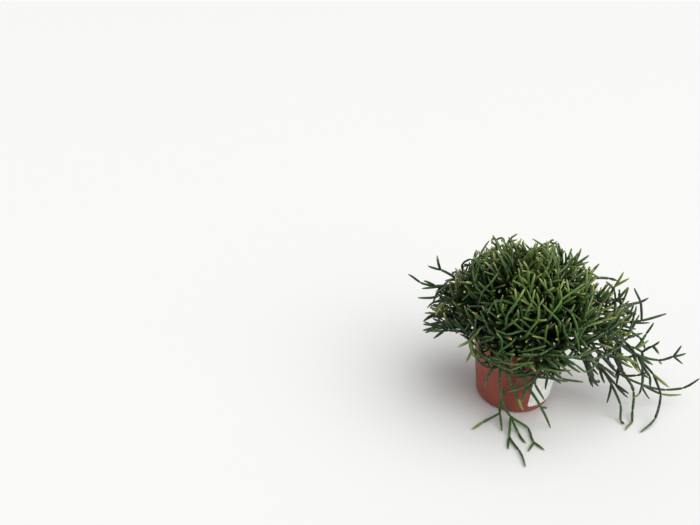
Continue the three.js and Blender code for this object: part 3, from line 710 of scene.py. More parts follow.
@dataclass
class Soil:
    """The potting mix: clods and crumbs of peat with a few grains of perlite, and bark bits."""

    pot: Pot
    top: float = 88.0
    gap: float = 0.3
    clods: int = 900
    clod_radius: tuple[float, float] = (1.6, 4.2)
    clod_rise: float = 0.55
    sink: float = 1.4  # how far the hollows between clods lie below the solid's top
    sides: int = 180
    rings: int = 60
    clod_lift: tuple[float, float] = (-0.6, 0.3)
    most_over: float = 1.0  # how far a clod may rise above the solid's top
    edge_fade: float = 1.5
    crumbs: int = 420
    crumb_size: tuple[float, float] = (0.7, 2.1)
    grains: int = 70
    grain_size: tuple[float, float] = (0.8, 1.7)
    lump_margin: float = 3.0  # how far crumbs and grains stay from the wall
    lump_drop: float = 0.4
    lump_rise: float = 0.15  # of its size
    lump_stretch: tuple[float, float] = (0.6, 1.3)
    lump_shake: tuple[float, float] = (0.75, 1.2)
    seed: int = 12

    def inner_radius(self, z: float) -> float:
        """The soil's radius at a height, just inside the wall."""
        return self.pot.wall_radius(z) - self.pot.wall - self.gap

    def relief(self, x: Array, y: Array, rng: Rng) -> Array:
        """Height of the clods: at each place, the highest of many low domes.

        A dome of radius R and centre c is rise * sqrt(R^2 - d^2), with d the distance to c.

        Args:
            x: places across.
            y: places along.
            rng: the seeded random numbers.

        Returns:
            The height at each place.
        """
        reach = self.inner_radius(self.top)
        around = rng.uniform(0, 2 * math.pi, self.clods)
        away = reach * np.sqrt(rng.uniform(0, 1, self.clods))
        radius = rng.uniform(*self.clod_radius, self.clods)
        lift = rng.uniform(*self.clod_lift, self.clods)
        square = (x[..., None] - away * np.cos(around)) ** 2 + (y[..., None] - away * np.sin(around)) ** 2
        dome = self.clod_rise * np.sqrt(np.clip(radius**2 - square, 0, None)) + lift
        return np.maximum(0.0, np.where(square < radius**2, dome, 0.0).max(-1))

    def build(self, finish: PottingMix, perlite: Perlite) -> list[Piece]:
        """Makes the soil body, its loose crumbs and its perlite.

        Args:
            finish: the potting mix.
            perlite: the white grains.

        Returns:
            The pieces.
        """
        rng = np.random.default_rng(self.seed)
        floor, low, level = self.pot.floor + self.gap, self.pot.corner + 2, self.top - self.sink
        edge = self.inner_radius(self.top)
        base = [[0, floor], [self.inner_radius(floor) - 4, floor], [self.inner_radius(low), low]]
        top = np.stack([np.linspace(edge, 0, self.rings + 1), np.full(self.rings + 1, level)], -1)
        shape = turned_surface(np.concatenate([base, top]), self.sides)
        on_top = shape.points[:, 2] > low
        x, y = shape.points[on_top, 0], shape.points[on_top, 1]
        relief = np.minimum(self.relief(x, y, rng), self.sink + self.most_over)
        shape.points[on_top, 2] += relief * step(np.hypot(x, y), (edge, -self.edge_fade))
        mix = finish.make()
        body = shape.build("potting_soil", mix)
        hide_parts("soil")
        crumbs = self.scatter("soil_crumbs", self.crumbs, self.crumb_size, mix, rng)
        grains = self.scatter("perlite_grains", self.grains, self.grain_size, perlite.make(), rng)
        for piece in (body, crumbs, grains):
            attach(piece, BODY)
        return [body, crumbs, grains]

    def scatter(
        self, name: str, count: int, sizes: tuple[float, float], material: Material, rng: Rng
    ) -> Piece:
        """Lays small lumps on the soil: icosahedra with stretched, shaken corners.

        Args:
            name: the piece's name.
            count: how many lumps.
            sizes: least and greatest radius.
            material: their finish.
            rng: the seeded random numbers.

        Returns:
            One piece with every lump.
        """
        points, faces = icosahedron()
        away = (self.inner_radius(self.top) - self.lump_margin) * np.sqrt(rng.uniform(0, 1, count))
        around = rng.uniform(0, 2 * math.pi, count)
        size = rng.uniform(*sizes, count)
        centre = around_axis(away, around, self.top + size * self.lump_rise - self.lump_drop)
        stretch = rng.uniform(*self.lump_stretch, (count, 1, 3)) * size[:, None, None]
        shaken = points[None] * rng.uniform(*self.lump_shake, (count, len(points), 1)) * stretch
        spin = rng.uniform(0, 2 * math.pi, count)
        cos, sin = np.cos(spin)[:, None], np.sin(spin)[:, None]
        x = shaken[..., 0] * cos - shaken[..., 1] * sin
        y = shaken[..., 0] * sin + shaken[..., 1] * cos
        lumps = np.stack([x, y, shaken[..., 2]], -1) + centre[:, None]
        shifts = np.arange(count)[:, None, None] * len(points)
        triangles = (faces[None] + shifts).reshape(-1, 3)
        shape = Surface(lumps.reshape(-1, 3), np.zeros((0, 4), int), triangles)
        return shape.build(name, material, smooth_shaded=False)


def icosahedron() -> tuple[Array, Array]:
    """An icosahedron of radius 1: two poles and two rings of five corners, half a step apart.

    Returns:
        Its 12 corners and 20 faces, with the faces pointing outwards.
    """
    height, radius = 1 / math.sqrt(5), 2 / math.sqrt(5)
    lower = around_axis(radius, full_turn(5), -height)
    upper = around_axis(radius, full_turn(5) + math.pi / 5, height)
    points = np.concatenate([lower, upper, [[0, 0, -1], [0, 0, 1]]])
    here, after = np.arange(5), (np.arange(5) + 1) % 5
    faces = [np.stack([np.full(5, 10), after, here], -1), np.stack([np.full(5, 11), 5 + here, 5 + after], -1)]
    faces += [np.stack([here, after, 5 + here], -1), np.stack([after, 5 + after, 5 + here], -1)]
    return points, np.concatenate(faces)


@dataclass
class Label:
    """The blank label: a sheet bent round the front of the wall."""

    pot: Pot
    bottom: float = 13.0
    top: float = 67.0
    start: float = math.radians(-80.5)
    stop: float = math.radians(-21.0)
    gap: float = 0.35
    thickness: float = 0.7
    corner: float = 3.0  # its radius
    rows: int = 41
    columns: int = 49
    curl: float = 0.5  # how far its lower right corner lifts off
    curl_across: Step = (0.6, 0.4)
    curl_down: Step = (-0.5, -0.5)
    waves: tuple[tuple[float, float, float], ...] = ((0.08, 5, 2), (0.06, -7, 3))
    sharp: float = 40.0  # the least angle of an edge that isn't shaded smooth

    def sheet(self, lift: float) -> Array:
        """One face of the sheet: a rectangle with round corners, laid on the tapered wall.

        A grid place (u, v) from -1 to 1 goes to the angle and height that it has on the wall. Near the
        top and bottom edges the half width shrinks as a circle of the corner's radius does. Each wave of
        height h adds h * sin(p u + q v), and one corner curls off the wall.

        Args:
            lift: how far this face stands off the wall.

        Returns:
            The points, row by row.
        """
        u, v = np.meshgrid(np.linspace(-1, 1, self.columns), np.linspace(-1, 1, self.rows))
        half_height = (self.top - self.bottom) / 2
        z = (self.top + self.bottom) / 2 + v * half_height
        radius = self.pot.wall_radius(z)
        half_angle = (self.stop - self.start) / 2
        into = np.clip(np.abs(v) * half_height - (half_height - self.corner), 0, self.corner)
        shrink = self.corner - np.sqrt(self.corner**2 - into**2)
        angle = (self.start + self.stop) / 2 + u * (half_angle - shrink / radius)
        raised = self.curl * step(u, self.curl_across) * step(v, self.curl_down)
        wave = sum(height * np.sin(across * u + down * v) for height, across, down in self.waves)
        return around_axis(radius + lift + wave + raised, angle, z).reshape(-1, 3)

    def build(self, finish: LabelPaper) -> Piece:
        """Makes the label.

        Args:
            finish: its paper.

        Returns:
            The label's object.
        """
        outer = self.sheet(self.gap + self.thickness)
        inner = self.sheet(self.gap)
        count = len(outer)
        front = grid_quads(self.rows, self.columns, False)
        back = front[:, ::-1] + count
        grid = np.arange(count).reshape(self.rows, self.columns)
        rim = np.concatenate([grid[0], grid[1:, -1], grid[-1, -2::-1], grid[-2:0:-1, 0]])
        after = np.roll(rim, -1)
        edge = np.stack([after, rim, rim + count, after + count], -1)
        shape = Surface(np.concatenate([outer, inner]), np.concatenate([front, back, edge]))
        label = shape.build("blank_label", finish.make())
        shade_by_angle(label, self.sharp)
        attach(label, BODY)
        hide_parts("label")
        return label


# ---- growth of the cactus


class Kind(Enum):
    """Where a spray stands, and how many segments of it the solids hold."""

    CROWN = ("crown", 22)
    RIM = ("rim", 16)
    TRAILING = ("trailing", 23)

    @property
    def word(self) -> str:
        """The kind's name in the nodes' names."""
        return self.value[0]

    @property
    def limit(self) -> int:
        """How many segments the solids hold for each spray of this kind."""
        return self.value[1]


class Forking(Enum):
    """How many segments a joint grows: the chance of the greater number, that number and the lesser."""

    TRAILING_END = (0.35, 2, 1)
    OLD = (0.7, 2, 1)
    END = (0.3, 3, 2)
    CROWN_SIDE = (0.6, 2, 1)
    SINGLE = (1.0, 1, 1)
    PAIR = (1.0, 2, 2)

    def number(self, chance: float) -> int:
        """The number of segments for a drawn chance."""
        limit, more, fewer = self.value
        return more if chance < limit else fewer


@dataclass(frozen=True)
class Dome:
    """The space that the foliage fills: a dome, tucked in at the front, that hangs down on one side."""

    centre: float = 94.0  # height that its rise is measured from
    rise: float = 130.0
    reach: float = 132.0
    front_tuck: float = 24.0
    lobe_reach: float = 40.0
    shoulder: float = 3.0  # how square its shoulders are
    lobe_shoulder: float = 1.0  # and how much less so on the side that hangs
    hang: float = 3.0  # how far its underside lies below the pot's rim
    front_hang: float = 15.0
    front_bearing: float = math.radians(-75)  # where it hangs lowest at the front
    front_focus: int = 4
    back_hang: float = 12.0
    lobe_hang: float = 62.0
    hang_ramp: float = 50.0
    front_lift: float = 0.7  # the slope of its underside at the front
    lift_from: float = 74.0  # and how far from the axis it starts to slope
    left_from: float = 0.7  # the slope starts at the axis towards the left, from this cosine on
    left_ramp: float = 0.15
    clear_from: float = 72.0  # nearer the pot than this there is no slope
    clear_ramp: float = 22.0
    rim_height: float = 98.0
    rim_radius: float = 60.0
    light_inside: Step = (0.58, 0.36)  # the scales of the dome between which the light fades
    light_below: Step = (-6.0, 18.0)
    light_beside: Step = (80.0, 20.0)
    beside_share: float = 0.35
    scales: tuple[float, float] = (0.02, 2.0)
    halvings: int = 14

    def lobe(self, azimuth: Any) -> Any:
        """How much a bearing faces the side that hangs, from 0 to 1."""
        return np.maximum(0, np.cos(azimuth)) ** 2

    def top(self, distance: Any, azimuth: Any, size: Any) -> Any:
        """Height of the dome: centre + rise * (1 - (distance / reach) ** shoulder).

        Args:
            distance: how far from the axis.
            azimuth: the bearing in radians.
            size: the dome's scale.

        Returns:
            The height.
        """
        lobe, front = self.lobe(azimuth), np.maximum(0, -np.sin(azimuth)) ** 2
        reach = (self.reach - self.front_tuck * front + self.lobe_reach * lobe) * size
        shoulder = self.shoulder - self.lobe_shoulder * lobe
        return self.centre + self.rise * size * (1 - (distance / reach) ** shoulder)

    def bottom(self, distance: Any, azimuth: Any) -> Any:
        """Height that the foliage stays above, outside the rim.

        Args:
            distance: how far from the axis.
            azimuth: the bearing in radians.

        Returns:
            The height.
        """
        beyond = np.maximum(0, distance - self.rim_radius)
        lobe, front = self.lobe(azimuth), np.maximum(0, -np.sin(azimuth))
        back = np.maximum(0, np.sin(azimuth)) ** 2
        low = np.maximum(0, np.cos(azimuth - self.front_bearing)) ** self.front_focus
        hang = self.hang + self.front_hang * low + self.back_hang * back
        drop = self.lobe_hang * lobe * smooth(beyond / self.hang_ramp)
        left = smooth((-np.cos(azimuth) - self.left_from) / self.left_ramp)
        slope = self.front_lift * front * (1 - lobe) * smooth((distance - self.clear_from) / self.clear_ramp)
        lift = slope * np.maximum(0, distance - self.lift_from * (1 - left))
        return self.rim_height - hang - drop + lift

    def holds(self, points: Array, size: float) -> Array:
        """Whether points are inside the dome.

        Args:
            points: the places, with x, y and z along the last axis.
            size: the dome's scale.

        Returns:
            True or False for each.
        """
        distance, azimuth, z = polar(points)
        over = z >= self.bottom(distance, azimuth)
        return (z <= self.top(distance, azimuth, size)) & (over | (distance <= self.rim_radius))

    def openness(self, points: Array) -> Array:
        """How much light reaches points, from 0 deep inside to 1 at the surface and below the foliage.

        The scale of the dome that passes through each point is found by halving, because the dome's
        height grows with its scale.

        Args:
            points: the places.

        Returns:
            A value for each.
        """
        distance, azimuth, z = polar(points)
        low, high = (np.full(z.shape, scale) for scale in self.scales)
        for _ in range(self.halvings):
            scale = (low + high) / 2
            over = self.top(distance, azimuth, scale) > z
            low, high = np.where(over, low, scale), np.where(over, scale, high)
        hangs = step(self.bottom(distance, azimuth) - z, self.light_below) * (distance > self.rim_radius)
        beside = self.beside_share * step(distance, self.light_beside)
        return np.maximum(np.maximum(step(high, self.light_inside), hangs), beside)


def polar(points: Array) -> tuple[Array, Array, Array]:
    """Distance from the axis, bearing and height of points."""
    x, y, z = np.moveaxis(points, -1, 0)
    return np.hypot(x, y), np.arctan2(y, x), z


@dataclass(frozen=True)
class Room:
    """Room that a segment keeps to the pot, the soil, the ground and other segments."""

    checks: int = 8
    over_rim: float = 0.6
    beside_pot: float = 1.8
    over_ground: float = 0.4
    over_soil: float = 0.5
    inside_pot: float = 0.6
    between_sprays: float = 1.4
    in_spray: float = 1.0


@dataclass(frozen=True)
class LeaderRule:
    """The main stem of a crown or rim spray: a curve from the soil to a point inside the dome."""

    shares: tuple[float, float]  # how far out it ends, of the way to the dome's surface
    reach: float  # the farthest that the surface is looked for
    slope: float  # in degrees above level
    more_slope: float  # how much is added to it by the last of them
    rise: float
    rise_share: float
    lean: float
    lean_share: float
    slides: bool  # whether its foot finds room along its ring, and not around its place
    first_order: int
    steps: int = 3
    thinning: float = 0.05
    height: float = 6.0
    first_reach: float = 20.0
    reach_step: float = 2.0
    sizes: tuple[float, float] = (0.94, 1.08)


CROWN_LEADER = LeaderRule(
    shares=(0.46, 0.64), reach=150, slope=90, more_slope=-84,
    rise=8, rise_share=0.22, lean=6, lean_share=6, slides=False, first_order=0,
)
RIM_LEADER = LeaderRule(
    shares=(0.6, 0.76), reach=110, slope=-8, more_slope=52,
    rise=20, rise_share=0, lean=2, lean_share=0, slides=True, first_order=1,
)


@dataclass(frozen=True)
class ForkRule:
    """How a joint forks, and how much its segments turn out and down. Angles are in degrees."""

    angles: tuple[float, float] = (16.0, 34.0)
    old_order: int = 4
    old_widening: float = 8.0
    side_widening: float = 22.0
    lengths: tuple[float, float] = (0.75, 1.25)
    roll_jitter: float = 0.5
    outward: float = 0.22
    closest: float = 0.93
    tries: int = 8
    try_widening: float = 2.0
    try_roll: float = 0.6
    short_from: int = 5
    shortening: float = 0.7
    lift: float = 0.05
    low_droop: float = 0.2
    front_droop: float = 0.25
    lobe_droop: float = 0.2
    low_height: Step = (135.0, -50.0)
    low_distance: Step = (30.0, 30.0)
    lobe_distance: Step = (60.0, 40.0)

    def droop(self, at: Array, dome: Dome) -> float:
        """How much a segment turns down: more near the dome's underside, at the front and in the lobe.

        Args:
            at: the joint that it grows from.
            dome: the space that the foliage fills.

        Returns:
            The amount to add to its heading's height.
        """
        distance, azimuth, z = polar(at)
        low = step(z, self.low_height) * step(distance, self.low_distance)
        lobe = dome.lobe(azimuth) * step(distance, self.lobe_distance)
        front = max(0.0, -math.sin(azimuth))
        return self.lift - (self.low_droop + self.front_droop * front) * low - self.lobe_droop * lobe


@dataclass(frozen=True)
class Reach:
    """How a fine stem reaches for an empty place, and which joint suits it best."""

    least_aim: float  # cosine of the sharpest turn from the joint's own direction
    least_flow: float  # cosine of the widest angle to the way that stems tend to run in there
    scales: tuple[float, float]  # its length against its order's usual one
    aim_weight: float = 0.4
    flow_weight: float = 0.7
    usual: float = 25.0  # the distance from the joint that suits best
    tolerance: float = 30.0
    crowding: float = 0.15  # how much each branch of the joint counts against it
    most_branches: int = 3
    last_order: int = 6
    nearest: float = 12.0
    farthest: float = 36.0
    thin_order: int = 3  # it is no thicker than a stem of this order


@dataclass(frozen=True)
class FineRule:
    """How the finer stems grow that only the visual model has. Angles are in radians."""

    ease: float = 1.25  # how much narrower their gaps may be than those that the solids keep
    leash: float = 14.0  # how far from a stem of the solids one may end
    last_order: int = 7
    fork: ForkRule = ForkRule(angles=(20.0, 44.0), outward=0.08)
    too_thin: float = 0.4  # no joint branches on where the foliage is thinner than this
    thin_right: Step = (40.0, 42.0)
    thin_low: Step = (128.0, -30.0)
    low_share: float = 0.2
    thin_left: Step = (-78.0, -30.0)
    left_share: float = 0.8
    thin_beside: Step = (32.0, 14.0)
    thin_under: Step = (122.0, -12.0)
    apron: Reach = Reach(0.0, 0.5, (0.8, 1.2))
    apron_seed: int = 8
    apron_tries: int = 4000
    apron_bearings: tuple[float, float] = (-2.35, -0.95)
    apron_distances: tuple[float, float] = (61.0, 82.0)
    apron_heights: tuple[float, float] = (76.0, 106.0)
    apron_spread: float = 0.4
    apron_slopes: tuple[float, float] = (-1.3, -0.4)
    crown: Reach = Reach(0.45, -0.2, (0.95, 1.3))
    crown_seed: int = 31
    crown_tries: int = 90000
    crown_low: tuple[float, float, float] = (-125.0, -118.0, 30.0)
    crown_high: tuple[float, float, float] = (180.0, 125.0, 222.0)
    core: float = 0.4  # the scale of the dome inside which none are added
    outward: float = 0.5
    sideways: float = 0.8
    least_rise: float = -0.35  # at the crown's underside
    more_rise: float = 1.3
    rise_step: Step = (85.0, 75.0)


@dataclass
class Segment:
    """A straight length of stem, from its parent's end to its own."""

    spray: int
    parent: int  # the number of the segment that it grows from, or -1
    start: Array
    end: Array
    radius: float
    order: int  # how many times its stem has branched


@dataclass
class Bud:
    """A joint that may branch."""

    spray: int
    parent: int
    at: Array
    heading: Array
    order: int
    size: float
    is_end: bool


@dataclass
class GrowthRule:
    """The sizes that the whole plant grows from, the same as the solids' own."""

    seed: int = 18
    crown_sprays: int = 20
    rim_sprays: int = 15
    crown_spread: float = 35.0
    rim_spread: float = 49.0
    base_spacing: float = 6.8
    golden_angle: float = math.radians(137.508)
    rim_jitter: float = 0.1
    rim_shuffle: int = 7
    soil_top: float = 88.0
    collar: float = 5.0
    lengths: tuple[float, ...] = (30, 28, 27, 26, 24, 22, 20, 18)
    radii: tuple[float, ...] = (2.1, 2.05, 2, 1.95, 1.85, 1.75, 1.7, 1.65)
    last_order: int = 5
    trailer_thinning: float = 0.08
    thinnest_trailer: float = 1.25
    trailer_orders: tuple[int, int] = (2, 4)
    lowest_bud: float = 30.0
    foot_tries: int = 20
    foot_turn: float = 0.06
    foot_shake: float = 0.4
    joint_tries: int = 20
    joint_shake: float = 0.4
    joint_growth: float = 0.6

    @property
    def foot(self) -> float:
        """Height of each spray's first joint."""
        return self.soil_top + self.collar


def trailers(foot: float) -> list[list[tuple[float, float, float, float]]]:
    """The hanging stems, given one by one: the joint that each joint grows from, and its place.

    Args:
        foot: the height of the first joint of each.

    Returns:
        One list of joints for each hanging stem.
    """
    return [
        # forked, in front of the pot, with its tips on the ground
        [(-1, -16, -38, foot), (0, -31, -51, 110), (1, -40, -66, 93), (2, -38, -69, 66), (3, -33, -66, 40),
         (4, -30, -61, 13), (4, -17, -65, 11), (5, -52, -67, 3), (7, -68, -79, 2), (5, -31, -82, 2),
         (6, 3, -77, 3), (10, 4, -102, 2.5), (11, -7, -117, 2), (11, 13, -115, 2), (6, -11, -86, 2.5),
         (14, -6, -103, 2), (6, -24, -92, 2.5), (16, -30, -113, 2), (16, -18, -115, 2.5),
         (18, -17, -142, 2), (2, -53, -75, 91), (20, -58, -76, 68), (2, -31, -74, 86), (22, -24, -72, 66),
         (23, -12, -69, 42), (24, -3, -66, 22)],
        # in front of the label
        [(-1, 2, -40, foot), (0, -11, -53, 110), (1, -17, -68, 97), (2, -5, -71, 65), (3, 16, -74, 33),
         (4, 31, -79, 4), (3, -12, -80, 48), (4, 28, -66, 26), (1, 3, -70, 101), (8, 0, -79, 86),
         (9, -11, -81, 73), (10, -29, -82, 65), (9, 3, -77, 71), (12, 18, -75, 46), (8, 17, -74, 86),
         (14, 36, -72, 69), (14, 15, -80, 66)],
        # hooked, at the left of the front
        [(-1, -34, -22, foot), (0, -42, -34, 116), (1, -52, -48, 138), (2, -68, -62, 143),
         (3, -80, -66, 128), (4, -76, -68, 118), (5, -83, -72, 100), (5, -66, -70, 99), (4, -95, -72, 123)],
        # low, on the left
        [(-1, -41, -4, foot), (0, -56, -8, 113), (1, -78, -12, 118), (2, -98, -14, 112),
         (3, -113, -12, 112), (4, -128, -10, 119), (3, -116, -20, 100)],
        # the longest, straight out to the right
        [(-1, 42, -13, foot), (0, 57, -16, 114), (1, 80, -15, 103), (2, 104, -12, 72), (3, 132, -14, 43),
         (4, 168, -18, 25), (5, 200, -22, 19), (6, 222, -22, 22), (7, 240, -22, 38), (5, 190, -32, 20),
         (9, 212, -38, 24)],
        # above it
        [(-1, 43, 6, foot), (0, 60, 10, 118), (1, 92, 12, 112), (2, 124, 12, 86), (3, 158, 8, 60),
         (4, 196, 5, 48), (5, 214, 5, 54), (6, 221, 5, 72), (6, 232, 8, 57), (6, 227, 0, 45),
         (5, 206, 12, 36)],
        # right, turning forward down to the ground
        [(-1, 37, -26, foot), (0, 54, -33, 117), (1, 86, -29, 117), (2, 120, -25, 97), (3, 150, -24, 74),
         (4, 172, -30, 51), (5, 182, -42, 27), (6, 168, -66, 8), (7, 143, -84, 2)],
        [(-1, 24, -36, foot), (0, 42, -50, 111), (1, 70, -47, 99), (2, 96, -38, 70), (3, 116, -38, 42),
         (4, 128, -50, 18), (5, 126, -64, 3), (6, 129, -70, 2), (4, 110, -50, 20), (3, 114, -52, 52),
         (9, 132, -56, 34)],
        [(-1, 42, -3, foot), (0, 58, -3, 121), (1, 88, -5, 106), (2, 120, -6, 74), (3, 136, -22, 50),
         (4, 150, -34, 26), (5, 146, -50, 8), (6, 140, -66, 2.5), (7, 126, -80, 2)],
        # right, raised
        [(-1, 34, 20, foot), (0, 48, 22, 124), (1, 80, 20, 134), (2, 112, 14, 120), (3, 140, 8, 108),
         (4, 157, 2, 113), (5, 149, 0, 142), (6, 135, -2, 164), (6, 158, 1, 148), (5, 186, 0, 125),
         (4, 172, 8, 106), (3, 108, 6, 142), (11, 112, 2, 164), (12, 118, 0, 186), (12, 126, -2, 178),
         (3, 120, 6, 141), (15, 130, 3, 163), (4, 145, 8, 134)],
        # behind, on the right: a low fan of upright tips
        [(-1, 28, 32, foot), (0, 46, 34, 122), (1, 74, 30, 122), (2, 98, 26, 100), (3, 122, 24, 79),
         (4, 141, 22, 80), (5, 155, 20, 85), (6, 167, 13, 79), (5, 152, 26, 107), (5, 142, 23, 64),
         (6, 156, 22, 104), (10, 157, 23, 123), (6, 158, 12, 116)],
        # behind that, a higher fan
        [(-1, 16, 40, foot), (0, 30, 46, 120), (1, 60, 44, 130), (2, 88, 40, 113), (3, 108, 37, 98),
         (4, 124, 36, 96), (5, 137, 36, 105), (6, 153, 36, 123), (5, 140, 30, 120), (8, 145, 30, 146),
         (6, 134, 43, 133), (6, 152, 34, 97), (11, 158, 30, 109)],
        # right, above the longest
        [(-1, 33, -8, foot), (0, 48, -9, 128), (1, 74, -12, 134), (2, 100, -15, 118), (3, 124, -16, 90),
         (4, 149, -14, 81), (5, 160, -12, 73), (6, 173, -10, 81), (7, 181, -10, 89), (5, 163, -6, 98),
         (9, 169, -6, 115), (6, 168, -19, 87), (4, 133, -20, 101)],
        # right, in front of the rest
        [(-1, 13, -43, foot), (0, 28, -57, 116), (1, 54, -61, 113), (2, 78, -55, 106), (3, 94, -45, 95),
         (4, 109, -42, 87), (5, 127, -42, 87), (6, 139, -44, 89), (7, 146, -46, 73), (8, 150, -48, 48),
         (9, 148, -51, 36), (10, 139, -55, 33), (9, 166, -47, 24), (5, 127, -47, 62), (13, 138, -52, 66),
         (14, 151, -54, 73)],
        # left, raised: two fans of level stems
        [(-1, -40, 9, foot), (0, -50, 12, 120), (1, -67, 19, 143), (2, -89, 20, 156), (3, -112, 20, 155),
         (4, -132, 20, 160), (5, -148, 20, 172), (3, -104, 30, 148), (7, -128, 30, 145), (4, -129, 8, 169),
         (3, -108, 14, 143), (10, -134, 18, 138), (2, -84, 30, 160), (12, -104, 36, 170),
         (13, -121, 36, 176), (13, -110, 36, 191), (1, -75, 2, 132), (16, -100, 0, 141),
         (17, -116, 0, 129), (17, -114, -10, 129)],
    ]


def tilted(direction: Array, angle: float, roll: float) -> Array:
    """A direction tilted by an angle, towards the side that roll gives.

    Args:
        direction: the unit vector to tilt.
        angle: the tilt in radians.
        roll: the side, as an angle round the direction.

    Returns:
        The tilted unit vector.
    """
    helper = UP if abs(direction[2]) < STEEP else ALONG
    side = unit(np.cross(direction, helper))
    up = np.cross(side, direction)
    across = side * (math.cos(roll) * math.sin(angle)) + up * (math.sin(roll) * math.sin(angle))
    return direction * math.cos(angle) + across


class Plant:
    """The whole plant as straight segments, each grown from its parent's end."""

    MOST = 8000  # segments that the arrays hold
    NEARLY_PARALLEL = 1e-9
    LEAST_DISTANCE = 1e-6
    LUCK_SEED = 7

    def __init__(self, rule: GrowthRule, pot: Pot, fine: FineRule) -> None:
        """Makes an empty plant.

        Args:
            rule: the sizes that it grows from.
            pot: the pot that it stays clear of.
            fine: how its finer stems grow.
        """
        self.rule = rule
        self.pot = pot
        self.fine = fine
        self.dome = Dome()
        self.room = Room()
        self.fork = ForkRule()
        self.draw = Draw(rule.seed)
        self.ease = 0.0
        self.leash = 0.0  # 0 while the stems of the solids grow
        self.solid = 0  # how many segments the solids hold
        self.count = 0
        self.start, self.end = np.zeros((2, self.MOST, 3))
        self.radius, self.parent = np.zeros(self.MOST), np.full(self.MOST, -1)
        self.spray, self.order = np.zeros((2, self.MOST), int)
        luck = np.random.default_rng(self.LUCK_SEED)
        self.luck = luck.uniform(0, 1, self.MOST)  # the joints with the least bear new growth
        self.kinds: list[Kind] = []
        self.sizes: dict[int, int] = {}
        self.feet: dict[int, Array] = {}
        self.buds: deque[Bud] = deque()
        self.spare: deque[Bud] = deque()

    # ---- room for a segment

    def clears_pot(self, new: Segment) -> bool:
        """Whether a segment stays off the pot, the soil and the ground.

        Args:
            new: the segment.

        Returns:
            True if it does.
        """
        room, radius = self.room, new.radius
        steps = np.linspace(0, 1, room.checks + 1)[:, None]
        distance, _, z = polar(new.start + (new.end - new.start) * steps)
        edge = np.where(z > self.pot.rim_bottom, self.pot.rim_radius, self.pot.wall_radius(z))
        inner = edge - self.pot.rim_step - self.pot.wall
        above = z > self.pot.height + radius + room.over_rim
        outside = (distance > edge + radius + room.beside_pot) & (z > radius + room.over_ground)
        over_soil = z > self.rule.soil_top + radius + room.over_soil
        over_soil[0] = True
        inside = (distance < inner - radius - room.inside_pot) & over_soil
        return bool((above | outside | inside).all())

    def fits(self, new: Segment) -> bool:
        """Whether a segment ends within reach and stays off the pot and every other one.

        Its parent and its siblings, which it joins, don't count. The shortest distance between two segments
        is found from the closest points on their lines, held between their ends.

        Args:
            new: the segment.

        Returns:
            True if it does.
        """
        if not (self.is_within_reach(new.end) and self.clears_pot(new)):
            return False
        n = self.count
        along = new.end - new.start
        across = self.end[:n] - self.start[:n]
        offset = new.start - self.start[:n]
        a = along @ along
        e = (across * across).sum(1)
        f = (across * offset).sum(1)
        c = offset @ along
        b = across @ along
        det = a * e - b * b
        apart = det > self.NEARLY_PARALLEL
        s = np.where(apart, np.clip((b * f - c * e) / np.where(apart, det, 1), 0, 1), 0)
        t = np.clip((b * s + f) / e, 0, 1)
        s = np.clip((t * b - c) / a, 0, 1)
        nearest = offset + s[:, None] * along - t[:, None] * across
        distance = np.sqrt((nearest * nearest).sum(1))
        same = self.spray[:n] == new.spray
        gap = np.where(same, self.room.in_spray, self.room.between_sprays) - self.ease
        touching = distance < new.radius + self.radius[:n] + gap
        if new.parent >= 0:
            touching[new.parent] = False
            touching[self.parent[:n] == new.parent] = False
        return not touching.any()

    def is_within_reach(self, point: Array) -> bool:
        """Whether a point lies near a stem that the solids hold, once those have grown.

        Args:
            point: the point.

        Returns:
            True if it does.
        """
        if not self.leash:
            return True
        start = self.start[: self.solid]
        along = self.end[: self.solid] - start
        offset = point - start
        share = np.clip((offset * along).sum(1) / (along * along).sum(1), 0, 1)
        gap = offset - along * share[:, None]
        return bool(((gap * gap).sum(1) < self.leash**2).any())

    def add(self, new: Segment) -> int:
        """Adds a segment.

        Args:
            new: the segment.

        Returns:
            Its number.
        """
        index = self.count
        self.start[index], self.end[index], self.radius[index] = new.start, new.end, new.radius
        self.spray[index], self.parent[index], self.order[index] = new.spray, new.parent, new.order
        self.sizes[new.spray] = self.sizes.get(new.spray, 0) + 1
        self.count += 1
        return index

    def children(self) -> Array:
        """How many segments grow from each segment."""
        parents = self.parent[: self.count]
        return np.bincount(parents[parents >= 0], minlength=self.count)

    def headings(self) -> Array:
        """The direction of each segment."""
        return unit(self.end[: self.count] - self.start[: self.count])

    # ---- the stems that the solids hold

    def grow_trailer(self, spray: int, joints: list[tuple[float, float, float, float]]) -> None:
        """Adds a hanging stem, joint by joint as listed.

        Args:
            spray: its number.
            joints: the joint that each grows from, and its place.
        """
        rule = self.rule
        points = [np.array(joint[1:], float) for joint in joints]
        parents = [int(joint[0]) for joint in joints]
        made, depths = [-1], [0]
        self.feet[spray] = points[0]
        for index in range(1, len(joints)):
            origin = parents[index]
            depths.append(depths[origin] + 1)
            radius = max(rule.thinnest_trailer, rule.radii[0] - rule.trailer_thinning * depths[index])
            order = min(depths[index] - 1, rule.last_order)
            new = Segment(spray, made[origin], points[origin], points[index], radius, order)
            made.append(self.add(new))
        for index in range(1, len(joints)):
            heading = unit(points[index] - points[parents[index]])
            order = int(np.clip(depths[index], *rule.trailer_orders))
            if points[index][2] > rule.lowest_bud:
                is_end = index not in parents
                self.buds.append(Bud(spray, made[index], points[index], heading, order, 1.0, is_end))

